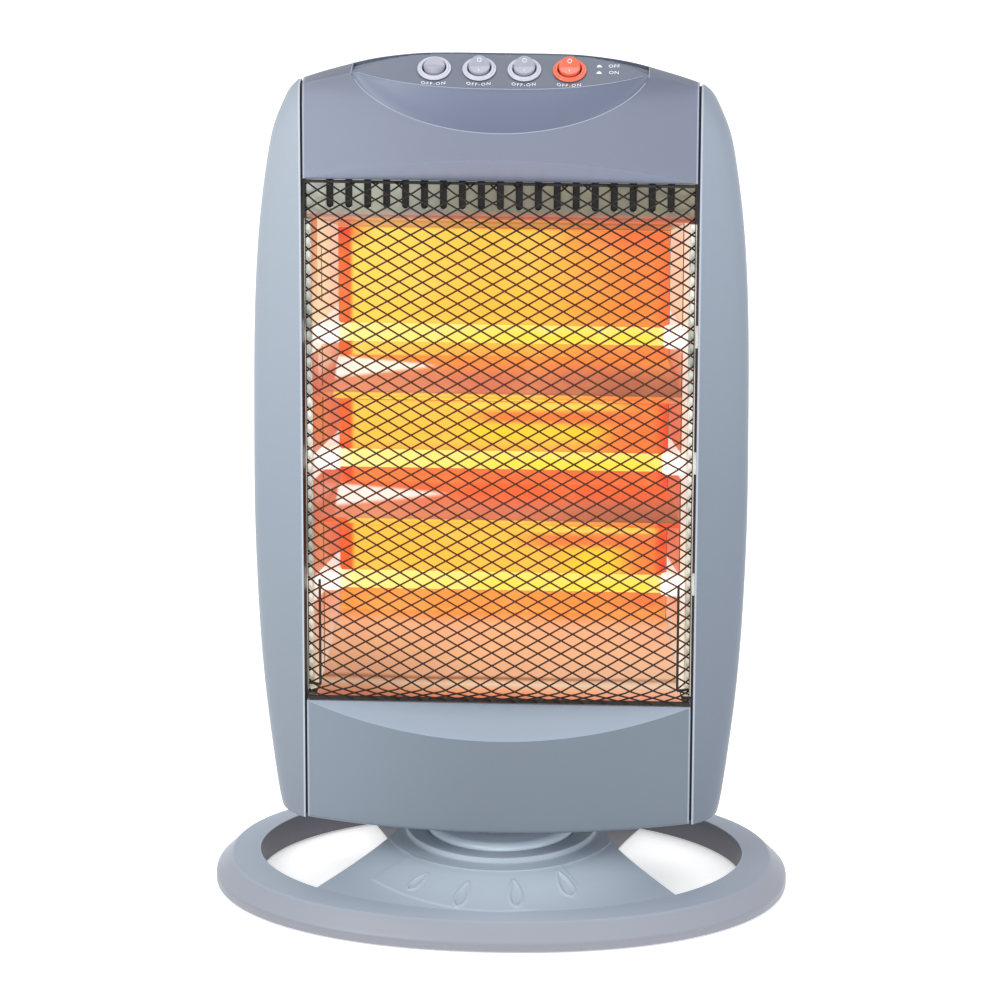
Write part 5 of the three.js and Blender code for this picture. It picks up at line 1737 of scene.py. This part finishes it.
def screw(name, at, axis, flip, body, node, depth):
    """pan head with a cross recess"""
    prof = [(0.01, 2.1), (1.2, 2.05), (2.3, 1.75), (3.1, 1.15), (3.55, 0.4), (3.6, 0.0), (1.5, 0.0), (1.5, -depth), (0.01, -depth)]
    V, F = lathe([(a, b * flip) for a, b in prof], 36, at, axis, closed=False)
    ob = build(name, V, F, M_screw, body, [node], sharp=40)
    parts = []
    for u, v in ((2.0, 0.42), (0.42, 2.0)):
        lo, hi = sorted((1.0 * flip, 3.0 * flip))
        o = [(-u, -v), (u, -v), (u, v), (-u, v)]
        if axis == "y":
            vv, ff = prism([(a + at[0], b + at[2]) for a, b in o], at[1] + lo, at[1] + hi, "y")
        else:
            vv, ff = prism([(a + at[0], b + at[1]) for a, b in o], at[2] + lo, at[2] + hi, "z")
        parts.append((vv, ff))
    for p_i, (vv, ff) in enumerate(parts):
        c = loose(name + "_cut%d" % p_i, vv, ff)
        b = ob.modifiers.new("cut%d" % p_i, "BOOLEAN")
        b.object = c
        b.solver = "EXACT"
        b.operation = "DIFFERENCE"
    finish_mods(ob, 40)
    for p_i in range(2):
        bpy.data.objects.remove(bpy.data.objects[name + "_cut%d" % p_i], do_unlink=True)


for k in range(4):
    lo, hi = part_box("rear_screw_%d" % (k + 1))
    cx, cz = (lo.x + hi.x) * 500, (lo.z + hi.z) * 500
    screw("rear_screw_%d_head" % (k + 1), (cx, hi.y * 1000 - 2.1, cz), "y", 1.0, "head", "rear_screw_%d" % (k + 1), 12.0)
    lo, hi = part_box("base_screw_%d" % (k + 1))
    cx, cy = (lo.x + hi.x) * 500, (lo.y + hi.y) * 500
    screw("base_screw_%d_head" % (k + 1), (cx, cy, 2.75), "z", -1.0, "base", "base_screw_%d" % (k + 1), 10.0)

lo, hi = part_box("cord_inlet_bush")
yc = hi.y * 1000 - 11.0
prof = rounded([(3.8, yc - 8), (6.95, yc - 8), (6.95, yc + 0.5), (9.6, yc + 0.5), (9.5, yc + 1.6), (8.6, yc + 3.0), (6.6, yc + 4.2), (6.3, yc + 5.6), (6.7, yc + 6.2), (6.1, yc + 6.9), (6.0, yc + 8.0), (6.4, yc + 8.6),
                (5.8, yc + 9.3), (5.6, yc + 10.9), (3.8, yc + 10.9)], 0.35, 3)
V, F = lathe(prof, 48, (58, 0, 70), "y")
build("cord_inlet_bush_sleeve", V, F, M_rubber, "head", ["cord_inlet_bush"])

# ------------------------------------------------------------------ finishes on the carried-over CAD nodes
CAD_LOOK = {
    "base_underplate": M_dark, "tip_switch_body": M_dark, "tip_plunger": M_nylon, "swivel_bush": M_nylon, "terminal_block": M_nylon,
    "crank": M_nylon, "link_arm": M_nylon, "heat_shield": M_steel, "head_floor": M_steel, "neck_tube": M_steel, "neck_nut": M_screw,
    "retaining_ring": M_screw, "anchor_post": M_steel, "anchor_arm": M_steel, "oscillation_motor": M_can, "thermal_cutout": M_can,
}
for node, mat in CAD_LOOK.items():
    o = frame["nodes"][node]
    o.data.materials.clear()
    o.data.materials.append(mat)

# ------------------------------------------------------------------ floor, light and camera


def floor_material():
    mat = bpy.data.materials.new("studio_floor")
    g = Graph(mat)
    n = g.noise(3.0, 2.0, 0.5)
    col = g.mix(n, (0.93, 0.93, 0.93, 1), (0.95, 0.95, 0.95, 1))
    g.shader(Base_Color=col, Roughness=0.85, Specular_IOR_Level=0.1, Emission_Color=(1, 1, 1, 1), Emission_Strength=0.42)
    return mat


V = [(-9000, -6000, 0), (9000, -6000, 0), (9000, 12000, 0), (-9000, 12000, 0)]
me = bpy.data.meshes.new("studio_floor")
me.from_pydata([tuple(c * MM for c in v) for v in V], [], [(0, 1, 2, 3)])
me.materials.append(floor_material())
floor = bpy.data.objects.new("studio_floor", me)
scene.collection.objects.link(floor)

world = bpy.data.worlds.new("studio")
scene.world = world
world.use_nodes = True
wt = world.node_tree
bg = wt.nodes["Background"] if "Background" in wt.nodes else wt.nodes.new("ShaderNodeBackground")
bg.inputs["Color"].default_value = (0.97, 0.985, 1.0, 1)
bg.inputs["Strength"].default_value = 0.74


def area(name, at, look, size, power, color=(1, 1, 1)):
    la = bpy.data.lights.new(name, "AREA")
    la.shape = "RECTANGLE"
    la.size, la.size_y = size
    la.energy = power
    la.color = color
    ob = bpy.data.objects.new(name, la)
    scene.collection.objects.link(ob)
    ob.location = at
    ob.rotation_euler = (Vector(look) - Vector(at)).to_track_quat("-Z", "Y").to_euler()
    return ob


area("key", (-1.5, -1.7, 1.9), (0, 0, 0.25), (1.3, 1.3), 26, (1.0, 0.99, 0.97))
area("fill", (2.1, -1.2, 1.0), (0, 0, 0.25), (1.2, 1.6), 9, (0.92, 0.96, 1.0))
area("top", (0.2, 0.5, 2.3), (0, 0, 0.2), (1.6, 1.2), 12)
area("low_front", (0.1, -2.3, 0.75), (0, 0, 0.04), (1.6, 0.5), 9)

cam_d = bpy.data.cameras.new("camera")
cam = bpy.data.objects.new("camera", cam_d)
scene.collection.objects.link(cam)
scene.camera = cam
cam_d.sensor_width = 36
cam_d.lens = 5705.8 / 1000 * 36
cam_d.clip_end = 60
eye = Vector((146.70, -3225.06, 1318.59)) * MM
aim = Vector((-1.3315, 0, 243.03)) * MM
q = (aim - eye).to_track_quat("-Z", "Y")
cam.location = eye
cam.rotation_mode = "QUATERNION"
roll = 0.0029
from mathutils import Quaternion
cam.rotation_quaternion = q @ Quaternion((0, 0, 1), roll)

scene.view_settings.view_transform = "Standard"
scene.view_settings.look = "None"
scene.view_settings.exposure = 0.0

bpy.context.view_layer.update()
